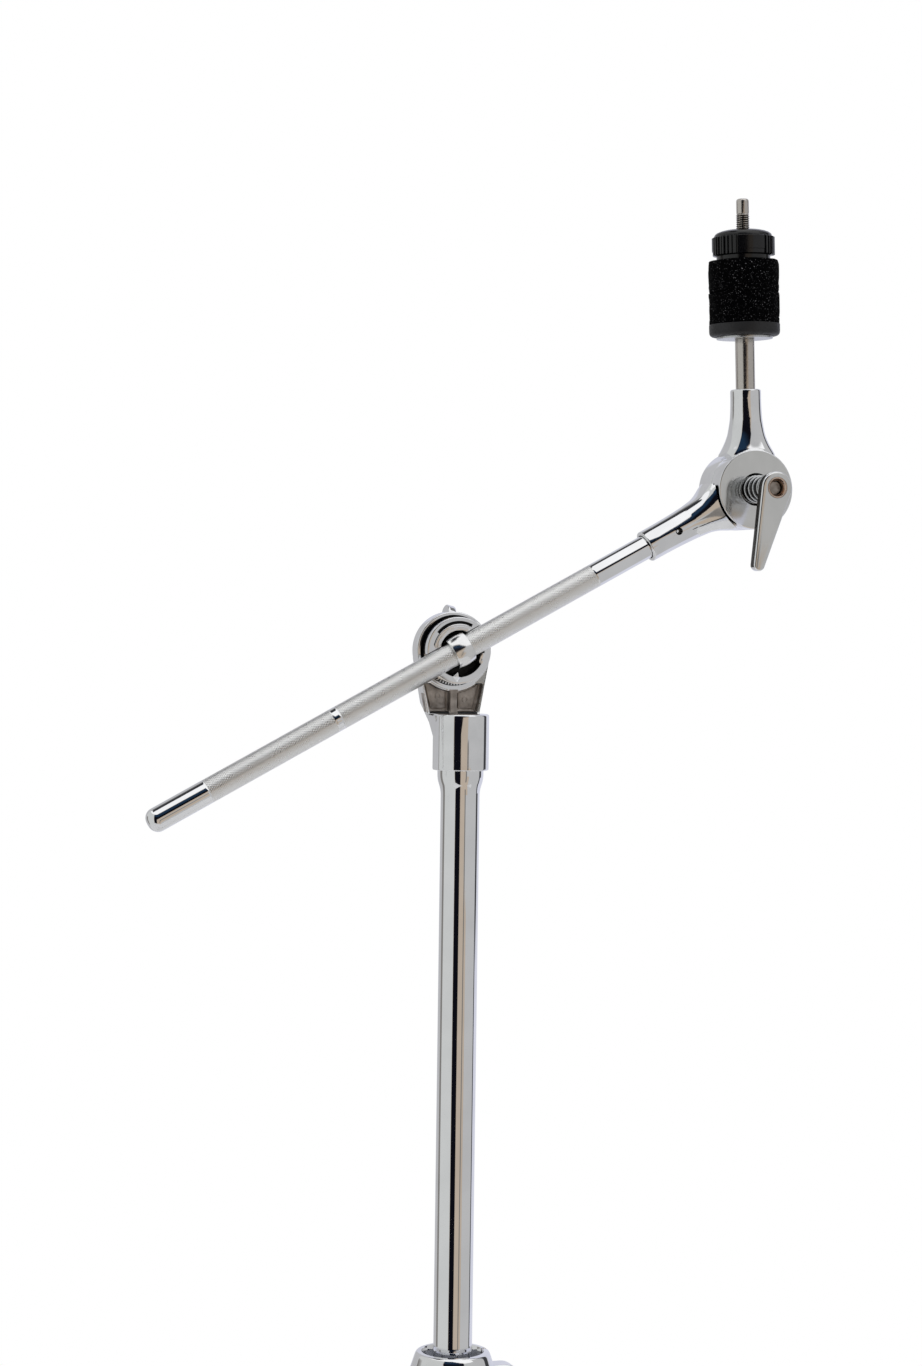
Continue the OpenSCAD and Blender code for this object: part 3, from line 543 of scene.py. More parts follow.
def holder_ring():
    """The ring around the saddle, with the seat for the wing nut behind it."""
    rim = [
        (0, -RING_BACK), (RING_R, -RING_BACK), (RING_R, -RING_FRONT), (RING_IN, -RING_FRONT),
        (RING_IN, RING_FLOOR), (0, RING_FLOOR),
    ]
    ring = place(lathe("ring", soften(rim, [0, 1.4, 1.3, 0.3, 0, 0], 6), 144), FRONTWARD)
    return ring, place(cylinder("hub", 9, -RING_BACK - 1, -20, rims=(0.4, 0)), FRONTWARD)


def make_holder():
    """The sleeve, its neck with two rough pockets and the ring."""
    bottom = SLEEVE_BOTTOM - CLAMP.z
    top = SLEEVE_TOP - CLAMP.z
    body = holder_neck(bottom, top)
    pockets, raised = holder_pockets(top)
    combine(body, pockets)
    cast(body, rounds=9)

    sleeve = cylinder("holder_sleeve", SLEEVE_R, bottom, top, 144, rims=(0.9, 1.5), rim_steps=5)
    combine(sleeve, [slab("flats", rectangle(-FLAT, -20, FLAT, 20), bottom - 1, top + 1)], "INTERSECT")
    combine(body, [sleeve, *holder_ring(), *raised], "UNION")
    hollow = place(cylinder("ring_hollow", RING_IN, RING_FLOOR, 0, 144), FRONTWARD)
    bore = cylinder("bore", SWAGE_R, bottom - 1, bottom + 24)
    shank_hole = place(cylinder("shank_hole", M8_HOLE_R, -40, 0, 48), FRONTWARD)
    combine(body, [hollow, bore, shank_hole])

    # Index 1 is the pockets' own rough casting; the seam, the right front and the ring's inner wall get painted
    # shade
    paint(body, MATERIALS["chrome_cast"], RAW, HOLLOW_SHADE, PAINTED_SHADE, GREY_SHADE)
    for face in body.data.polygons:
        x, y, z = face.center
        out = math.hypot(x, z)
        past_front = y - NECK_FRONT
        divider = abs(x) < 2.6
        in_pocket = abs(x) < 18 and y < POCKET_FLOOR + 0.5 and past_front > (-1.5 if divider else 0.6)
        seam_shade = abs(x) < FLAT - 0.4 and -0.6 < past_front < 3 and top - 0.2 < z < top + 0.8
        if in_pocket and z > top + 0.3 and out > RING_R + 0.4:
            face.material_index = 1
        # Painted shade: a dark seam between the pockets and the sleeve's top
        elif seam_shade:
            face.material_index = 2
        # Painted shade on the right front: a dark line on its edge and grey on its face
        elif x > 13 and z > top + 1 and out > RING_R + 0.3 and face.normal.y < -0.25:
            face.material_index = 3 if face.normal.x > 0.2 else 4
        # Painted shade on the ring's inner wall
        elif out < RING_IN + 0.05 and RING_FRONT + 0.5 < y < RING_BACK - 3:
            face.material_index = 2
    body.name = "boom_holder_casting"
    settle(body, "column", "chrome_cast", "boom_holder", matrix=ON_CLAMP, sharp=40)


make_holder()

# ------------------ boom clamp

SADDLE_R = 19.2
LAND_Y = 5.0
STRAP_R = 9.68
ARC_R = 15.3
SLOT_R = 17.0
SLOT_HALF = 7.3


def sector(name, inner, outer, start, end, low, high, steps=28):
    """A piece of a flat ring between two angles, drawn out along -Y."""
    outline = arc(outer, start, end, steps) + arc(inner, end, start, steps)
    return place(slab(name, outline, low, high), FRONTWARD)


def round_arc(name, inner, outer, start, end, low, high, bevel=0.7):
    """A raised arc with round ends."""
    middle, half = (inner + outer) / 2, (outer - inner) / 2
    tip = math.degrees(half / middle)
    outline = arc(outer, start + tip, end - tip, 24)
    for angle, first in ((end - tip, 0), (start + tip, 180)):
        centre = (middle * math.cos(math.radians(angle)), middle * math.sin(math.radians(angle)))
        outline += arc(half, angle + first, angle + first + 180, 8, centre)
        if first == 0:
            outline += arc(inner, end - tip, start + tip, 24)
    return place(slab(name, outline, low, high, bevel), FRONTWARD)


def make_saddle():
    """The disc with its flat land, its slot, a few teeth and the raised arcs around the rod."""
    back = -21.4
    foot = -LAND_Y - 1
    profile = [
        (0, back), (20.1, back), (20.1, -FLANGE_FRONT),
        (SADDLE_R, -FLANGE_FRONT), (SADDLE_R, -LAND_Y), (0, -LAND_Y),
    ]
    disc = place(lathe("saddle", soften(profile, [0, 0.4, 0.3, 0, 0.6, 0]), 160), FRONTWARD)
    # Angles are the boom's own: 0 lies along the rod
    raised = [
        round_arc("upper_arc", 11.6, ARC_R, 35.5, 146.5, foot, 1.3 - LAND_Y),
        round_arc("upper_bead", 12.9, 13.9, 39, 143, foot, 1.6 - LAND_Y, 0.3),
        round_arc("lower_arc", 13.0, 15.8, 301.5, 326.5, foot - 8, 1.2 - LAND_Y),
    ]
    nub = lathe("nub", [(0, -6), (2.9, -6), (2.9, 0.1), (0.4, 1.9), (0, 1.9)], 4)
    raised.append(place(nub, turn_y(ROD_ANGLE - 267) @ Matrix.Translation((15.2, LAND_Y, 0)) @ FRONTWARD))
    tooth_low, tooth_high = -FLANGE_FRONT - 0.5, -LAND_Y - 6
    for start in range(203, 253, 5):
        raised.append(sector("tooth", SADDLE_R - 0.4, 20.05, start, start + 2.2, tooth_low, tooth_high, 2))
    groove = place(cylinder("groove", SLOT_HALF, -30, 30), ALONG_X)
    place(groove, Matrix.Translation((0, CLAMP.y, 0)))
    front = place(slab("front_slot", rectangle(-30, -SLOT_HALF, 30, SLOT_HALF), -4, 30), FRONTWARD)
    room = place(cylinder("strap_room", STRAP_R + 1.9, -14, 0), FRONTWARD)
    lower = sector("lower_room", 0.5, ARC_R, 181, 359, -14, 0)
    slot = sector("slot", ARC_R, SLOT_R, 33.5, 113.5, -LAND_Y - 3, 0)
    combine(disc, [room, lower, slot])
    combine(disc, raised, "UNION")
    combine(disc, [groove, front])
    # Painted shade: the faces deep in the slot and behind the land, and the flange with its teeth, are near-black
    paint(disc, MATERIALS["chrome_cast"], HOLLOW_SHADE)
    for face in disc.data.polygons:
        x, y, z = face.center
        r = math.hypot(x, z)
        deep = y > LAND_Y + 1.2 and r < SLOT_R + 0.1
        flange = SADDLE_R - 0.4 < r and y > FLANGE_FRONT - (0.6 if r > SADDLE_R + 0.1 else 4)
        if deep or flange:
            face.material_index = 1
    from_rod = Matrix.Translation((0, -CLAMP.y, 0))
    settle(disc, "saddle", "chrome_cast", "saddle_disc", matrix=ON_BOOM @ from_rod, sharp=38)


make_saddle()


def make_strap():
    """The rubbed band of the eye bolt around the rod, with its threaded shank."""
    inner, half, crown = 7.08, 5.5, 0.8
    outside = [(STRAP_R - crown * (k / 5) ** 2, half * k / 5) for k in range(-5, 6)]
    profile = [(inner, -half)] + outside + [(inner, half)]
    rounding = [0.2, 0.3] + [0] * 9 + [0.3, 0.2]
    band = place(lathe("strap_band", soften(profile, rounding, 6, closed=True), 128, closed=True), ALONG_X)
    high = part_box("eye_bolt")[1].y / MM - CLAMP.y
    combine(band, [place(thread("strap_shank", STRAP_R - 1.2, high), BACKWARD)], "UNION")
    paint(band, BUFFED)
    settle(band, "saddle", "chrome_cast", "eye_bolt", matrix=ON_BOOM, sharp=60)


make_strap()


def make_wing_nut():
    """The cast wing nut behind the ring."""
    half, height, hub = 27, 12, 8
    side = [
        (hub * 0.4, 0.8), (hub, 1.2), (half - 5, height * 0.55), (half - 1, height * 0.9),
        (half, height * 1.35), (half - 3, height * 1.7), (half - 7, height * 1.6),
        (hub * 0.95, height), (0, height - 0.4),
    ]
    outline = soften(side + [(-x, z) for x, z in side[::-1][1:]], 2.2, closed=True)
    nut = place(slab("wing_nut_casting", outline, -2.7, 2.7, 0.9), FRONTWARD)
    barrel = soften([(0, 0), (hub, 0), (hub - 0.8, height), (0, height)], [0, 0.6, 0.8, 0])
    combine(nut, [lathe("barrel", barrel, 64)], "UNION")
    combine(nut, [cylinder("hole", M8_HOLE_R, -2, 30, 48)])
    cast(nut, rounds=6)
    behind_ring = Matrix.Translation((0, 27.3, CLAMP.z))
    settle(nut, "wing_nut", "chrome_cast", "wing_nut", matrix=behind_ring @ turn_y(104) @ BACKWARD, sharp=60)


make_wing_nut()

# ------------------ boom rod


def make_rod():
    """The plain and knurled lengths of the rod as one turned piece."""
    rod = 7.0
    tail, head = -205.0, 168.8
    knurls = [(-167.0, -85.2), (-80.8, 91.5)]
    columns, row = 72, 1.0
    deep, proud = rod - 0.1, rod - 0.02
    points, rings, parities = [], [], []

    def ring(x, even, odd, parity=None):
        rings.append(range(len(points), len(points) + columns))
        parities.append(parity)
        for k in range(columns):
            a = 2 * math.pi * k / columns
            r = odd if k % 2 else even
            points.append((x, r * math.cos(a), r * math.sin(a)))

    def plain(x, r=rod):
        ring(x, r, r)

    dome = rod - 1.2
    for k in range(1, 13):
        a = math.pi / 2 * k / 12
        plain(tail + dome - dome * math.cos(a), rod - dome + dome * math.sin(a))
    plain(tail + dome + 0.6)
    for start, end in knurls:
        plain(start - 1.0)
        plain(start - 0.5)
        plain(start - 0.05, rod - 0.12)
        count = round((end - start) / row)
        for j in range(count + 1):
            radii = (proud, deep) if j % 2 else (deep, proud)
            ring(start + (end - start) * j / count, *radii, parity=j % 2)
        plain(end + 0.05, rod - 0.12)
        plain(end + 0.5)
        plain(end + 1.0)
    plain(head)
    faces = []
    for number, corners in enumerate(ring_faces(rings)):
        row_number, k = divmod(number, columns)
        if None in parities[row_number:row_number + 2]:
            faces.append(corners)
            continue
        # Valleys are where column and row agree, and each square is folded along its valleys
        a, b, c, d = corners if k % 2 == parities[row_number] else corners[1:] + corners[:1]
        faces += [(a, b, c), (a, c, d)]
    faces += [tuple(rings[0]), tuple(rings[-1])]
    obj = outward(add_mesh("boom_rod_turned", points, faces))
    # Painted shade: knurl facets that face -X take the darker copy of the knurled chrome
    paint(obj, MATERIALS["chrome"], MATERIALS["chrome_knurled"], KNURL_PAINTED_SHADE)
    for face in obj.data.polygons:
        if any(start - 0.1 < face.center.x < end + 0.1 for start, end in knurls):
            face.material_index = 2 if face.normal.x < 0 else 1
    settle(obj, "boom", "chrome", "boom_rod", matrix=ON_BOOM, sharp=18)
    for face in obj.data.polygons:
        face.use_smooth = face.material_index == 0


make_rod()

# ------------------ tilter

DISC_R = 23.3
FRONT_T = 13.0
REAR_T = 18.6
LEVER_GAP = 23.5
LEVER_T = 6.5


def neck(name, length, radius, grow, depth_front, depth_back):
    """A neck that is round at its end and flattens and widens towards its disc, which lies in X and Z."""
    low, rows, steps = 12.0, 40, 96
    points, rings = [], []
    for i in range(rows + 1):
        z = low + (length - low) * i / rows
        round_r = radius + grow * max(0.0, 1 - (z - 20) / (length - 20)) ** 2.4
        wide = round_r + min(3.3, 2.3 * (max(0.0, 34 - z) / 10.4) ** 1.7)
        flat = min(1.0, max(0.0, (42 - z) / 18))
        power = 2 + 0.9 * flat
        front = min(depth_front, round_r)
        back = round_r + max(0.0, depth_back - round_r) * flat ** 1.5
        rings.append(range(len(points), len(points) + steps))
        for k in range(steps):
            a = 2 * math.pi * k / steps
            across, along = math.cos(a), math.sin(a)
            deep = back if along > 0 else front
            r = (abs(across / wide) ** power + abs(along / deep) ** power) ** (-1 / power)
            points.append((r * across, r * along, z))
    return capped(name, points, rings)


def facing_side(side):
    """What is cut from the flare so that the two necks meet flat to flat when the tilter is folded."""
    far, lean = 100, math.radians(35.2)
    outline = [(0, 0), (-far * math.sin(lean), far * math.cos(lean)), (-far, 0), (-far, -far), (0, -far)]
    if side > 0:
        outline = [(-x, z) for x, z in reversed(outline)]
    return place(slab("facing_side", outline, -40, 40), FRONTWARD)


def make_half(body, side, drum, room, ends):
    """Joins drum and neck, rounds the casting, cuts it free of the other half and adds its ends."""
    combine(body, [place(drum, FRONTWARD)], "UNION")
    cast(body, rounds=8)
    combine(body, [facing_side(side)])
    combine(body, [place(room, FRONTWARD)])
    combine(body, ends, "UNION")


def make_post():
    """The front disc with its spring recess, and the neck that holds the stem."""
    post_h, post_r = 59.2, 9.0
    body = neck("tilter_post_casting", post_h - 1.1, post_r, 4.0, FRONT_T - 0.7, 12.6)
    drum = cylinder("drum", DISC_R - 0.4, 0.15, FRONT_T - 0.5)
    room = cylinder("rear_room", DISC_R + 1.2, -40, 0.1, 128, rims=(0, 0.4))
    disc = place(cylinder("disc", DISC_R, 0.15, FRONT_T, 160, rims=(0.4, 0.7)), FRONTWARD)
    collar = cylinder("collar", post_r + 0.02, post_h - 6, post_h, rims=(0, 1.3), rim_steps=5)
    make_half(body, -1, drum, room, [disc, collar])
    cup = [(0, 4), (9.4, 4), (9.4, FRONT_T - 0.5), (10.1, FRONT_T + 1), (0, FRONT_T + 1)]
    recess = place(lathe("recess", soften(cup, [0, 0.3, 0.6, 0, 0])), FRONTWARD)
    bore = place(cylinder("bore", M8_HOLE_R, -2, 20, 48), FRONTWARD)
    foot, rim, top = post_h - 28, post_h - 0.5, post_h + 1
    stem_socket = lathe("stem_socket", [(0, foot), (5.7, foot), (5.7, rim), (6.1, top), (0, top)])
    combine(body, [recess, bore, stem_socket])
    paint(body, MATERIALS["chrome_cast"], SATIN, HOLLOW_SHADE)
    for face in body.data.polygons:
        if face.normal.y < -0.99 and face.center.y < 0.1 - FRONT_T:
            face.material_index = 1
        # Painted shade inside the spring recess
        elif 0.9 - FRONT_T < face.center.y < -3 and math.hypot(face.center.x, face.center.z) < 9.5:
            face.material_index = 2
    settle(body, "tilter", "chrome_cast", "tilter_post", matrix=ON_STEM, sharp=36)


make_post()


def make_socket():
    """The rear disc and the sleeve that holds the rod."""
    length, sleeve = 72.7, 9.3
    pin_z = length - 19.5
    body = neck("tilter_socket_casting", length - 1.1, sleeve, 3.4, 12.6, REAR_T - 0.6)
    drum = cylinder("drum", DISC_R - 0.3, 0.4 - REAR_T, -0.15)
    room = cylinder("front_room", DISC_R + 1.2, -0.1, 40, 128)
    end = cylinder("mouth", sleeve + 0.02, length - 8, length, rims=(0, 0.8), rim_steps=5)
    disc = place(cylinder("disc", DISC_R, -REAR_T, -0.15, 160, rims=(1.2, 0.5)), FRONTWARD)
    make_half(body, 1, drum, room, [end, disc])
    foot, rim, top = length - 40, length - 1, length + 0.5
    bore = lathe("bore", [(0, foot), (7.02, foot), (7.02, rim), (7.7, top), (0, top)])
    at_pin = Matrix.Translation((0, 0, pin_z))
    pin = place(cylinder("pin_hole", 1.7, -12, 12, 40), at_pin @ FRONTWARD)
    bolt = place(cylinder("bolt_room", 4.02, -30, 5, 40), FRONTWARD)
    cone = [(0, 8.2), (1.65, 8.2), (2.2, 9.4), (2.2, 11), (0, 11)]
    sinks = [place(lathe("sink", cone, 40), at_pin @ way) for way in (BACKWARD, FRONTWARD)]
    combine(body, [bore, pin, bolt] + sinks)
    # Painted shade: a dark ring inside the rod's mouth and the sunk faces around the pin hole
    paint(body, MATERIALS["chrome_cast"], PAINTED_SHADE)
    for face in body.data.polygons:
        x, y, z = face.center
        mouth = z > length - 1.2 and math.hypot(x, y) < 7.75
        sunk = y < 0 and math.hypot(x, z - pin_z) < 1.8
        if mouth or sunk:
            face.material_index = 1
    settle(body, "boom", "chrome_cast", "tilter_socket", matrix=ON_SOCKET, sharp=36)


make_socket()


def make_spring():
    """The spring between the recess and the lever, a little narrower at the lever, with closed ends."""
    far, near = (corner.y / MM - TILTER.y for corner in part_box("tilter_spring"))
    wire, turns, steps, sides = 0.8, 7, 336, 10
    points, rings = [], []
    for i in range(steps + 1):
        t = i / steps
        along = min(1.0, max(0.0, (t * turns - 0.8) / (turns - 1.6)))
        a = 2 * math.pi * turns * t
        radius = 8.0 - 1.3 * along
        y = near - wire + (far - near + 2 * wire) * along
        rings.append(range(len(points), len(points) + sides))
        for k in range(sides):
            b = 2 * math.pi * k / sides
            r = radius + wire * math.cos(b)
            points.append((r * math.cos(a), y + wire * math.sin(b), r * math.sin(a)))
    coil = capped("tilter_spring_wound", points, rings)
    settle(coil, "tilter", "hardware", "tilter_spring", matrix=ON_TILTER, sharp=40)


make_spring()


def make_lever():
    """The paddle lever with its turned insert."""
    blade = slab("lever_blade", taper(9.3, 3.4, 46), 0, LEVER_T, 1.1)
    hole = [(0, -1), (6.0, -1), (6.0, LEVER_T - 0.5), (6.5, LEVER_T + 1), (0, LEVER_T + 1)]
    combine(blade, [lathe("hole", hole, 72)])
    # The blade's faces are satin and its sides chrome; its left side is painted shade, a dark line
    paint(blade, SATIN, MATERIALS["chrome_cast"], PAINTED_SHADE)
    for face in blade.data.polygons:
        if face.normal.z < 0.95:
            face.material_index = 2 if face.normal.z < 0.2 and face.normal.x < -0.8 else 1
    at_lever = ON_TILTER @ Matrix.Translation((0, -FRONT_T - LEVER_GAP, 0))
    swung = at_lever @ turn_y(13) @ FRONTWARD
    settle(blade, "tilter_lever", "chrome_cast", "tilter_lever", matrix=swung, sharp=38)

    face = LEVER_T + 0.3
    ring = [(M8_HOLE_R, 0), (6.0, 0), (6.0, face), (5.3, face), (4.3, face - 1.5), (M8_HOLE_R, face - 1.9)]
    profile = soften(ring, [0.1, 0.2, 0.3, 0.2, 0.2, 0.1], closed=True)
    insert = lathe("lever_insert_turned", profile, 72, closed=True)
    settle(insert, "tilter_lever", "bronze", "lever_insert", matrix=at_lever @ FRONTWARD, sharp=30)


make_lever()

# ------------------ stem, seat, felts and nut

SEAT_AT = 88.8
CUP_AT = SEAT_AT + 1.6
FELT_AT = CUP_AT + 7
FELT_H = 18.4
FELT2_AT = FELT_AT + FELT_H + 0.3
NUT_AT = FELT2_AT + FELT_H + 0.3
PLAIN_TOP = NUT_AT + 12
STUD_TOP = 171.0


def make_stem():
    """The stem with its threaded stud and pilot, the washer and the rubber seat cup."""
    stem = [(0, 31.2), (5.7, 31.2), (5.7, SEAT_AT), (M8_R, SEAT_AT), (M8_R, PLAIN_TOP), (0, PLAIN_TOP)]
    body = lathe("stem_turned", soften(stem, [0, 0.4, 0.4, 0, 0, 0]))
    stud = thread("stud", PLAIN_TOP - 0.02, STUD_TOP - 8.6, 48)
    foot = STUD_TOP - 9.4
    tip = [(0, foot), (3.0, foot), (3.7, foot + 0.7), (3.7, STUD_TOP), (0, STUD_TOP)]
    pilot = lathe("pilot", soften(tip, [0, 0, 0.3, 2.3, 0], 8), 64)
    combine(body, [stud, pilot], "UNION")
    # The valleys of the stud's thread are painted shade
    paint(body, MATERIALS["steel_satin"], PAINTED_SHADE)
    for face in body.data.polygons:
        x, y, z = face.center
        if PLAIN_TOP < z < STUD_TOP - 9 and math.hypot(x, y) < 3.62:
            face.material_index = 1
    settle(body, "tilter", "steel_satin", "stem", matrix=ON_STEM, sharp=30)

    washer = [(M8_R, SEAT_AT), (16.5, SEAT_AT), (16.5, CUP_AT), (M8_R, CUP_AT)]
    ring = lathe("seat_washer_stamped", soften(washer, 0.35, closed=True), closed=True)
    settle(ring, "tilter", "hardware", "seat_washer", matrix=ON_STEM)

    floor = FELT_AT - 0.6
    cup = [
        (M8_R, CUP_AT), (19.2, CUP_AT), (20.5, CUP_AT + 1), (20.8, CUP_AT + 2.6), (20.8, FELT_AT),
        (19.6, FELT_AT), (19.6, floor), (M8_R, floor),
    ]
    profile = soften(cup, [0.2, 0.6, 0.9, 0.8, 0.4, 0.2, 0, 0.2], closed=True)
    seat = lathe("seat_cup_moulded", profile, 128, closed=True)
    settle(seat, "tilter", "rubber_black", "seat_cup", matrix=ON_STEM)


make_stem()


def make_felt(name, node, body, at, seed):
    """A pressed felt disc with uneven rims, a little squashed."""
    radius, bore, rows = 20.45, 6.35, 22
    top, mid = at + FELT_H, at + FELT_H / 2
    side = [(radius, at + FELT_H * (0.01 + 0.98 * k / rows)) for k in range(rows + 1)]
    flat = radius - 0.4
    profile = [(bore, at + 0.1), (flat, at + 0.02)] + side + [(flat, top - 0.02), (bore, top - 0.1)]
    felt = lathe(name, profile, 180, closed=True)
    for vertex in felt.data.vertices:
        x, y, z = vertex.co
        r = math.hypot(x, y)
        if r < bore + 1:
            continue
        here = Vector((x, y, z)) * 0.16 + Vector((seed, 0, 0))
        lumps = noise.noise(here) * 0.75 + noise.noise(here * 4.1) * 0.22 + noise.noise(here * 15) * 0.1
        barrel = 0.18 * (1 - ((z - mid) / (FELT_H / 2)) ** 2)
        grown = min(r + lumps + barrel, 20.8 if r > radius - 0.5 else r + 0.4)
        vertex.co.x *= grown / r
        vertex.co.y *= grown / r
        rim = 0.2 if abs(z - mid) > FELT_H * 0.4 else 0.0
        lifted = z + noise.noise(here * 2.3 + Vector((0, 9, 0))) * rim
        vertex.co.z = min(max(lifted, at + 0.02), top - 0.02)
    join(felt, make_fibres(at, seed))
    settle(felt, body, "felt_black", node, matrix=ON_STEM, sharp=60)


def make_fibres(at, seed):
    """Loose wool fibres that lie on the felt and stand a little off it."""
    chance = random.Random(seed)
    points, faces = [], []
    for _ in range(420):
        a = chance.uniform(0, 2 * math.pi)
        z = chance.uniform(at + 0.6, at + FELT_H - 0.6)
        length = chance.uniform(0.6, 2.0)
        lean = chance.uniform(-1, 1)
        lift = chance.uniform(0.05, 0.4)
        thick = chance.uniform(0.035, 0.06)
        rings = []
        for k in range(5):
            t = k / 4
            r = 20.35 + lift * math.sin(math.pi * t) + 0.1
            b = a + lean * length * (t - 0.5) / 20
            h = min(max(z + (1 - abs(lean)) * length * (t - 0.5), at + 0.1), at + FELT_H - 0.1)
            rings.append(range(len(points), len(points) + 3))
            for turn in (0, 2 * math.pi / 3, 4 * math.pi / 3):
                out = r + thick * math.cos(turn)
                points.append((out * math.cos(b), out * math.sin(b), h + thick * math.sin(turn)))
        faces += ring_faces(rings) + [tuple(rings[0]), tuple(rings[-1])]
    return outward(add_mesh("fibres", points, faces))


make_felt("felt_lower_pressed", "felt_lower", "tilter", FELT_AT, 3)
make_felt("felt_upper_pressed", "felt_upper", "felt_upper", FELT2_AT, 8)


def make_nut():
    """The moulded nut: fine ribs between three smooth grips, under a shallow dome."""
    grip_half, spacing, rib_pitch = 27.0, 120.0, 8.4
    first_grip = -90 + CAMERA_AZIMUTH + 11.4
    rib_low, rib_high, valley = 2.9, 13.8, 17.4

    def wave(angle, r, z):
        if not (rib_low <= z <= rib_high) or r < 17:
            return r
        turn = (math.degrees(angle) - first_grip + spacing / 2) % spacing - spacing / 2
        if abs(turn) < grip_half:
            edge = min(1.0, (grip_half - abs(turn)) / 1.2)
            return valley + (1.0 if z > 5.4 else 0.55) * edge
        phase = ((abs(turn) - grip_half) / rib_pitch) % 1.0
        return valley + (1.1 if 0.34 < phase < 0.86 else 0.0)

    profile = [(6.0, 0), (15.4, 0), (15.7, 0.3), (15.8, 2.4), (16.6, 2.7)]
    profile += [(17.5, h) for h in (3.0, 3.4, 4.2, 5.3, 5.5, 7, 9, 11, 12.4, 13.2)]
    profile += [(17.0, 13.9), (16.9, 14.5), (16.4, 15.4), (15.3, 16.2), (13.2, 17), (10.6, 17.6)]
    profile += [(8.2, 17.9), (5.6, 18), (4.3, 17.6), (4.3, 15), (6.0, 15)]
    nut = lathe("top_nut_moulded", profile, 720, closed=True, wave=wave)
    at_nut = ON_STEM @ Matrix.Translation((0, 0, NUT_AT))
    settle(nut, "top_nut", "plastic_black", "top_nut", matrix=at_nut, sharp=30)


make_nut()

# ------------------ tilter hardware


def make_bolt():
    """The clamping bolt through both discs, with its hexagon head and threaded end."""
    tip = 4 - FRONT_T - LEVER_GAP - LEVER_T
    back = REAR_T - 0.5
    shank = thread("tilter_bolt_turned", 0, back - tip, 40)
    place(shank, FRONTWARD @ Matrix.Translation((0, 0, -back)))
    head = slab("head", arc(8, 0, 300, 5), -REAR_T - 5, -REAR_T, 0.5)
    combine(shank, [place(head, turn_y(30 - ROD_ANGLE) @ FRONTWARD)], "UNION")
    # Painted shade: the shank in front of the rear disc is near-black, and its tip inside the insert takes the
    # darker raw casting
    paint(shank, MATERIALS["hardware"], PAINTED_SHADE, RAW)
    for face in shank.data.polygons:
        if face.center.y < -3:
            face.material_index = 1 if face.center.y > tip + 3 else 2
    settle(shank, "boom", "hardware", "tilter_bolt", matrix=ON_TILTER, sharp=30)


make_bolt()

# ------------------ height clamp and base tube

CLAMP_TOP = 640.0
BASE_R = 14.3


def make_height_clamp():
    """The domed clamp collar with its lugs, split and mouth."""
    shoulder = CLAMP_TOP - 13
    bottom = CLAMP_TOP - 52
    bolt = Vector((33, 0, CLAMP_TOP - 21))
    profile = [
        (0, bottom), (18.5, bottom), (18.5, bottom + 12), (24, shoulder - 14), (26, shoulder - 9),
        (26, shoulder - 2), (24, shoulder + 4), (21.5, CLAMP_TOP - 1.5), (20.5, CLAMP_TOP), (0, CLAMP_TOP),
    ]
    body = lathe("clamp_body_casting", soften(profile, [0, 1.2, 4, 4, 4, 4, 4, 2, 0.8, 0]), 128)
    outline = arc(10, -90, 90, 20, (bolt.x, 0)) + [(16.5, 10), (16.5, -10)]
    at_bolt = Matrix.Translation((0, 0, bolt.z)) @ FRONTWARD
    lugs = [place(slab("lug", outline, low, low + 11.5, 0.6), at_bolt) for low in (-13, 1.5)]
    combine(body, lugs, "UNION")
    cast(body, 0.5, 6)
    floor, rim, top = CLAMP_TOP - 12, CLAMP_TOP - 0.4, CLAMP_TOP + 1
    mouth = lathe("mouth", [(0, floor), (17.7, floor), (17.7, rim), (18.6, top), (0, top)], 128)
    tube_room = cylinder("tube_room", BASE_R, bottom - 1, CLAMP_TOP - 11)
    split = slab("split", rectangle(0, -1.5, 40, 1.5), bottom + 8, CLAMP_TOP + 5)
    hole = place(cylinder("hole", 3.08, -20, 20, 40), Matrix.Translation(bolt) @ FRONTWARD)
    combine(body, [mouth, tube_room, split, hole])
    settle(body, "base", "chrome_cast", "clamp_body", sharp=40)


make_height_clamp()


def make_bush():
    """The grey nylon bush, cut into fingers at its mouth."""
    inner, outer, lip = 11.18, 12.72, 17.4
    floor, top = CLAMP_TOP - 12, CLAMP_TOP - 2.5
    shape = [
        (inner, floor - 40), (outer, floor - 40), (outer, floor + 0.3), (lip, floor + 0.3), (lip, top),
        (lip - 1.2, top), (12.2, top - 3.5), (inner, top - 3.5),
    ]
    profile = soften(shape, [0.2, 0.4, 0, 0.3, 0.6, 0.4, 0.4, 0.3], closed=True)
    bush = lathe("clamp_bush_moulded", profile, 120, closed=True)
    cuts = []
    for k in range(6):
        finger = slab("finger", rectangle(10, -1, 20, 1), CLAMP_TOP - 8, CLAMP_TOP)
        cuts.append(place(finger, Matrix.Rotation(math.radians(60 * k + 30), 4, "Z")))
    combine(bush, cuts)
    settle(bush, "bush", "nylon_grey", "clamp_bush", sharp=35)


make_bush()


def make_base_tube():
    """The plain base tube."""
    low, high = (c.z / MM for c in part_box("base_tube"))
    profile = soften(rectangle(BASE_R - 1.5, low, BASE_R, high), 0.4, closed=True)
    settle(lathe("base_tube_shell", profile, 128, closed=True), "base", "chrome", "base_tube")


make_base_tube()


def finish_cad_nodes():
    """Rounds the edges of each CAD node that still shows, and paints it by its slot in the record."""
    slots = {s["node"]: s["material_slot"] for s in frame["record"]["subparts"]}
    for name, node in frame["nodes"].items():
        if node.hide_render:
            continue
        # The socket pin is painted with the near-black steel of the painted shade around it
        paint(node, PAINTED_SHADE if name == "socket_pin" else MATERIALS[slots[name]])
        weld = node.modifiers.new("weld", "WELD")
        weld.merge_threshold = 0.002 * MM
        rims = node.modifiers.new("rims", "BEVEL")
        rims.width = 0.35 * MM
        rims.segments = 2
        rims.angle_limit = math.radians(40)
        smooth(node, 40)


finish_cad_nodes()

# ------------------ camera, lights, stage


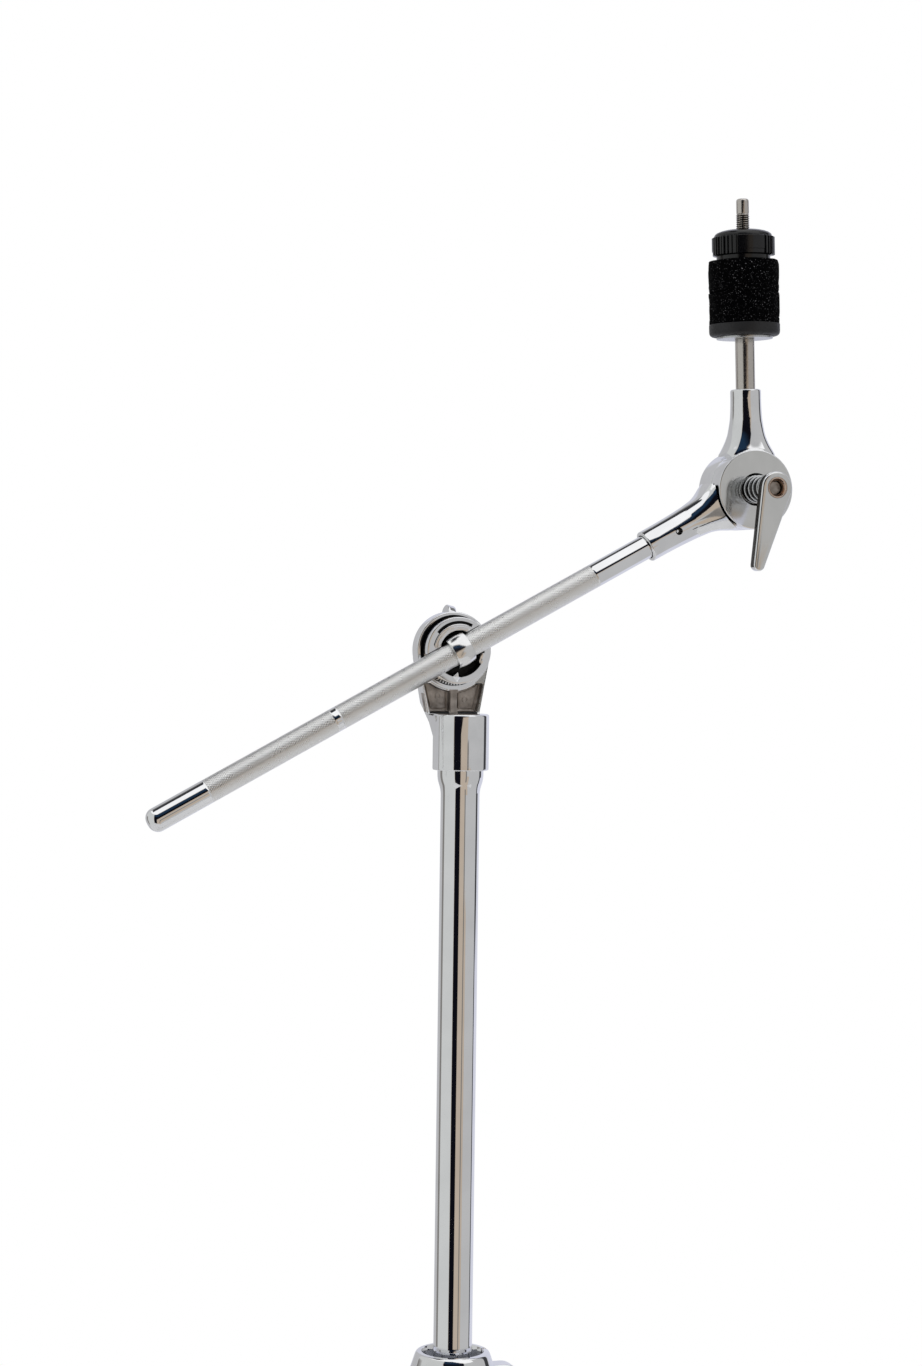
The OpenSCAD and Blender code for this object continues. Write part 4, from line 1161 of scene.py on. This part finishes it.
def make_camera():
    """The camera, in front of the clamp and a little to its left."""
    data = bpy.data.cameras.new("camera")
    camera = bpy.data.objects.new("camera", data)
    scene.collection.objects.link(camera)
    scene.camera = camera
    data.sensor_fit = "AUTO"
    data.sensor_width = SENSOR_MM
    data.lens = CAMERA_DISTANCE * SENSOR_MM / PICTURE_MM
    azimuth = math.radians(CAMERA_AZIMUTH)
    back = Vector((math.sin(azimuth), -math.cos(azimuth), 0))
    right = Vector((math.cos(azimuth), math.sin(azimuth), 0))
    eye = CLAMP + back * CAMERA_DISTANCE + Vector((0, 0, EYE_UP))
    aim = CLAMP + right * AIM_RIGHT - Vector((0, 0, AIM_DOWN))
    camera.location = eye * MM
    look = (aim - eye).to_track_quat("-Z", "Y").to_matrix().to_4x4()
    roll = Matrix.Rotation(math.radians(CAMERA_ROLL), 4, "Z")
    camera.rotation_euler = (look @ roll).to_euler()
    data.clip_start = 0.01
    data.clip_end = 50


make_camera()
scene.view_settings.view_transform = "Standard"


def make_studio():
    """A pale room with dark gaps and a warm panel in front, so that polished metal shows bands."""
    world = bpy.data.worlds.new("studio")
    scene.world = world
    world.use_nodes = True
    world.node_tree.nodes.clear()
    links = world.node_tree.links

    def node(kind, **values):
        return add_node(world, kind, **values)

    def connect(socket, value):
        if isinstance(value, (int, float)):
            socket.default_value = value
        elif isinstance(value, tuple):
            socket.default_value = (*value, 1)
        else:
            links.new(value, socket)

    def calc(operation, a, b=0.0):
        made = node("ShaderNodeMath", operation=operation)
        connect(made.inputs[0], a)
        connect(made.inputs[1], b)
        return made.outputs[0]

    def dot(direction):
        made = node("ShaderNodeVectorMath", operation="DOT_PRODUCT")
        links.new(sky, made.inputs[0])
        made.inputs[1].default_value = direction
        return made.outputs["Value"]

    def mix(mask, lower, upper):
        """The upper colour where the mask is 1. Inputs 6 and 7 and output 2 are the node's colours."""
        made = node("ShaderNodeMix", data_type="RGBA")
        connect(made.inputs[0], mask)
        connect(made.inputs[6], lower)
        connect(made.inputs[7], upper)
        return made.outputs[2]

    def over(value, edge, blur=1.5):
        """1 where the value is over the edge and 0 where it is under it."""
        made = node("ShaderNodeMapRange")
        made.inputs["From Min"].default_value = -blur / 2
        made.inputs["From Max"].default_value = blur / 2
        links.new(calc("SUBTRACT", value, edge), made.inputs["Value"])
        return made.outputs["Result"]

    def all_of(*masks):
        product = masks[0]
        for mask in masks[1:]:
            product = calc("MULTIPLY", product, mask)
        return product

    def between(value, low, high, blur=1.5):
        return all_of(over(value, low, blur), over(high, value, blur))

    sky = node("ShaderNodeTexCoord").outputs["Generated"]
    turn = math.radians(CAMERA_AZIMUTH)
    front = dot((math.sin(turn), -math.cos(turn), 0))
    right = dot((math.cos(turn), math.sin(turn), 0))
    degrees = 180 / math.pi
    side = calc("MULTIPLY", calc("ARCTAN2", right, front), degrees)
    height = calc("MULTIPLY", calc("ARCSINE", dot((0, 0, 1))), degrees)
    behind = over(calc("ABSOLUTE", side), 115)

    # Where each panel ends, in degrees of side or height
    ceiling = calc("MAXIMUM", calc("SUBTRACT", 47, calc("MULTIPLY", calc("MAXIMUM", side, 0), 0.58)), 25)
    ceiling = calc("MAXIMUM", ceiling, calc("MULTIPLY", over(side, 70), 46))
    ceiling = calc("MAXIMUM", ceiling, calc("MULTIPLY", behind, 60))
    dark_end = calc("MINIMUM", calc("ADD", calc("MULTIPLY", calc("MAXIMUM", height, 0), 1.8), 1), 36)
    warm_end = calc("ADD", calc("MULTIPLY", height, 0.3), 29)
    warm_end = calc("MAXIMUM", warm_end, calc("MULTIPLY", over(-8, height), 44))

    light, grey, warm = (0.6, 0.61, 0.6), (0.5, 0.5, 0.5), (0.5, 0.42, 0.34)
    colour = mix(over(side, -29), light, warm)
    colour = mix(over(side, warm_end), colour, grey)
    colour = mix(all_of(between(side, 27.5, 33.5), between(height, -28, -2)), colour, (0.2, 0.185, 0.17))
    backdrop = mix(over(height, 27, 10), (0.004, 0.004, 0.007), (0.013, 0.032, 0.065))
    dark = all_of(over(side, -28), over(dark_end, side), over(calc("SUBTRACT", ceiling, 1), height))
    colour = mix(dark, colour, backdrop)
    colour = mix(all_of(between(side, -121, -103), between(height, -30, 8, 6)), colour, (0.22, 0.21, 0.2))
    colour = mix(over(-123, side), colour, (0.5, 0.5, 0.51))
    colour = mix(over(-162, side, 5), colour, (0.62, 0.63, 0.7))
    colour = mix(all_of(between(side, 110, 127), over(height, -30)), colour, (0.05, 0.05, 0.055))
    lilac = (0.68, 0.69, 0.78)
    colour = mix(over(side, 130), colour, lilac)
    colour = mix(all_of(over(side, 119), between(height, -52, -8)), colour, lilac)
    colour = mix(all_of(behind, between(height, 50, 60)), colour, (0.2, 0.2, 0.2))
    colour = mix(over(height, ceiling), colour, (1.0, 1.0, 1.0))
    colour = mix(all_of(between(side, -152, -72), between(height, 59, 75)), colour, (0.04, 0.04, 0.045))

    path = node("ShaderNodeLightPath")
    colour = mix(path.outputs["Is Diffuse Ray"], colour, (0.8, 0.8, 0.8))
    colour = mix(path.outputs["Is Camera Ray"], colour, (1.0, 1.0, 1.0))
    background = node("ShaderNodeBackground", Strength=1.0)
    links.new(colour, background.inputs["Color"])
    output = node("ShaderNodeOutputWorld")
    links.new(background.outputs[0], output.inputs["Surface"])


def make_floor():
    """A plain pale floor under the feet."""
    half = 1200
    corners = [(x, y, -1) for x, y in rectangle(-half, -half, half, half)]
    floor = place(add_mesh("floor", corners, [(0, 1, 2, 3)]), Matrix.Scale(MM, 4))
    material = new_material("pale_floor", (0.8, 0.8, 0.8), 0.0, 0.7)
    tint(material, object_noise(material, 8, 2), (0.79, 0.79, 0.79), (0.81, 0.81, 0.81))
    paint(floor, material)


make_studio()
make_floor()
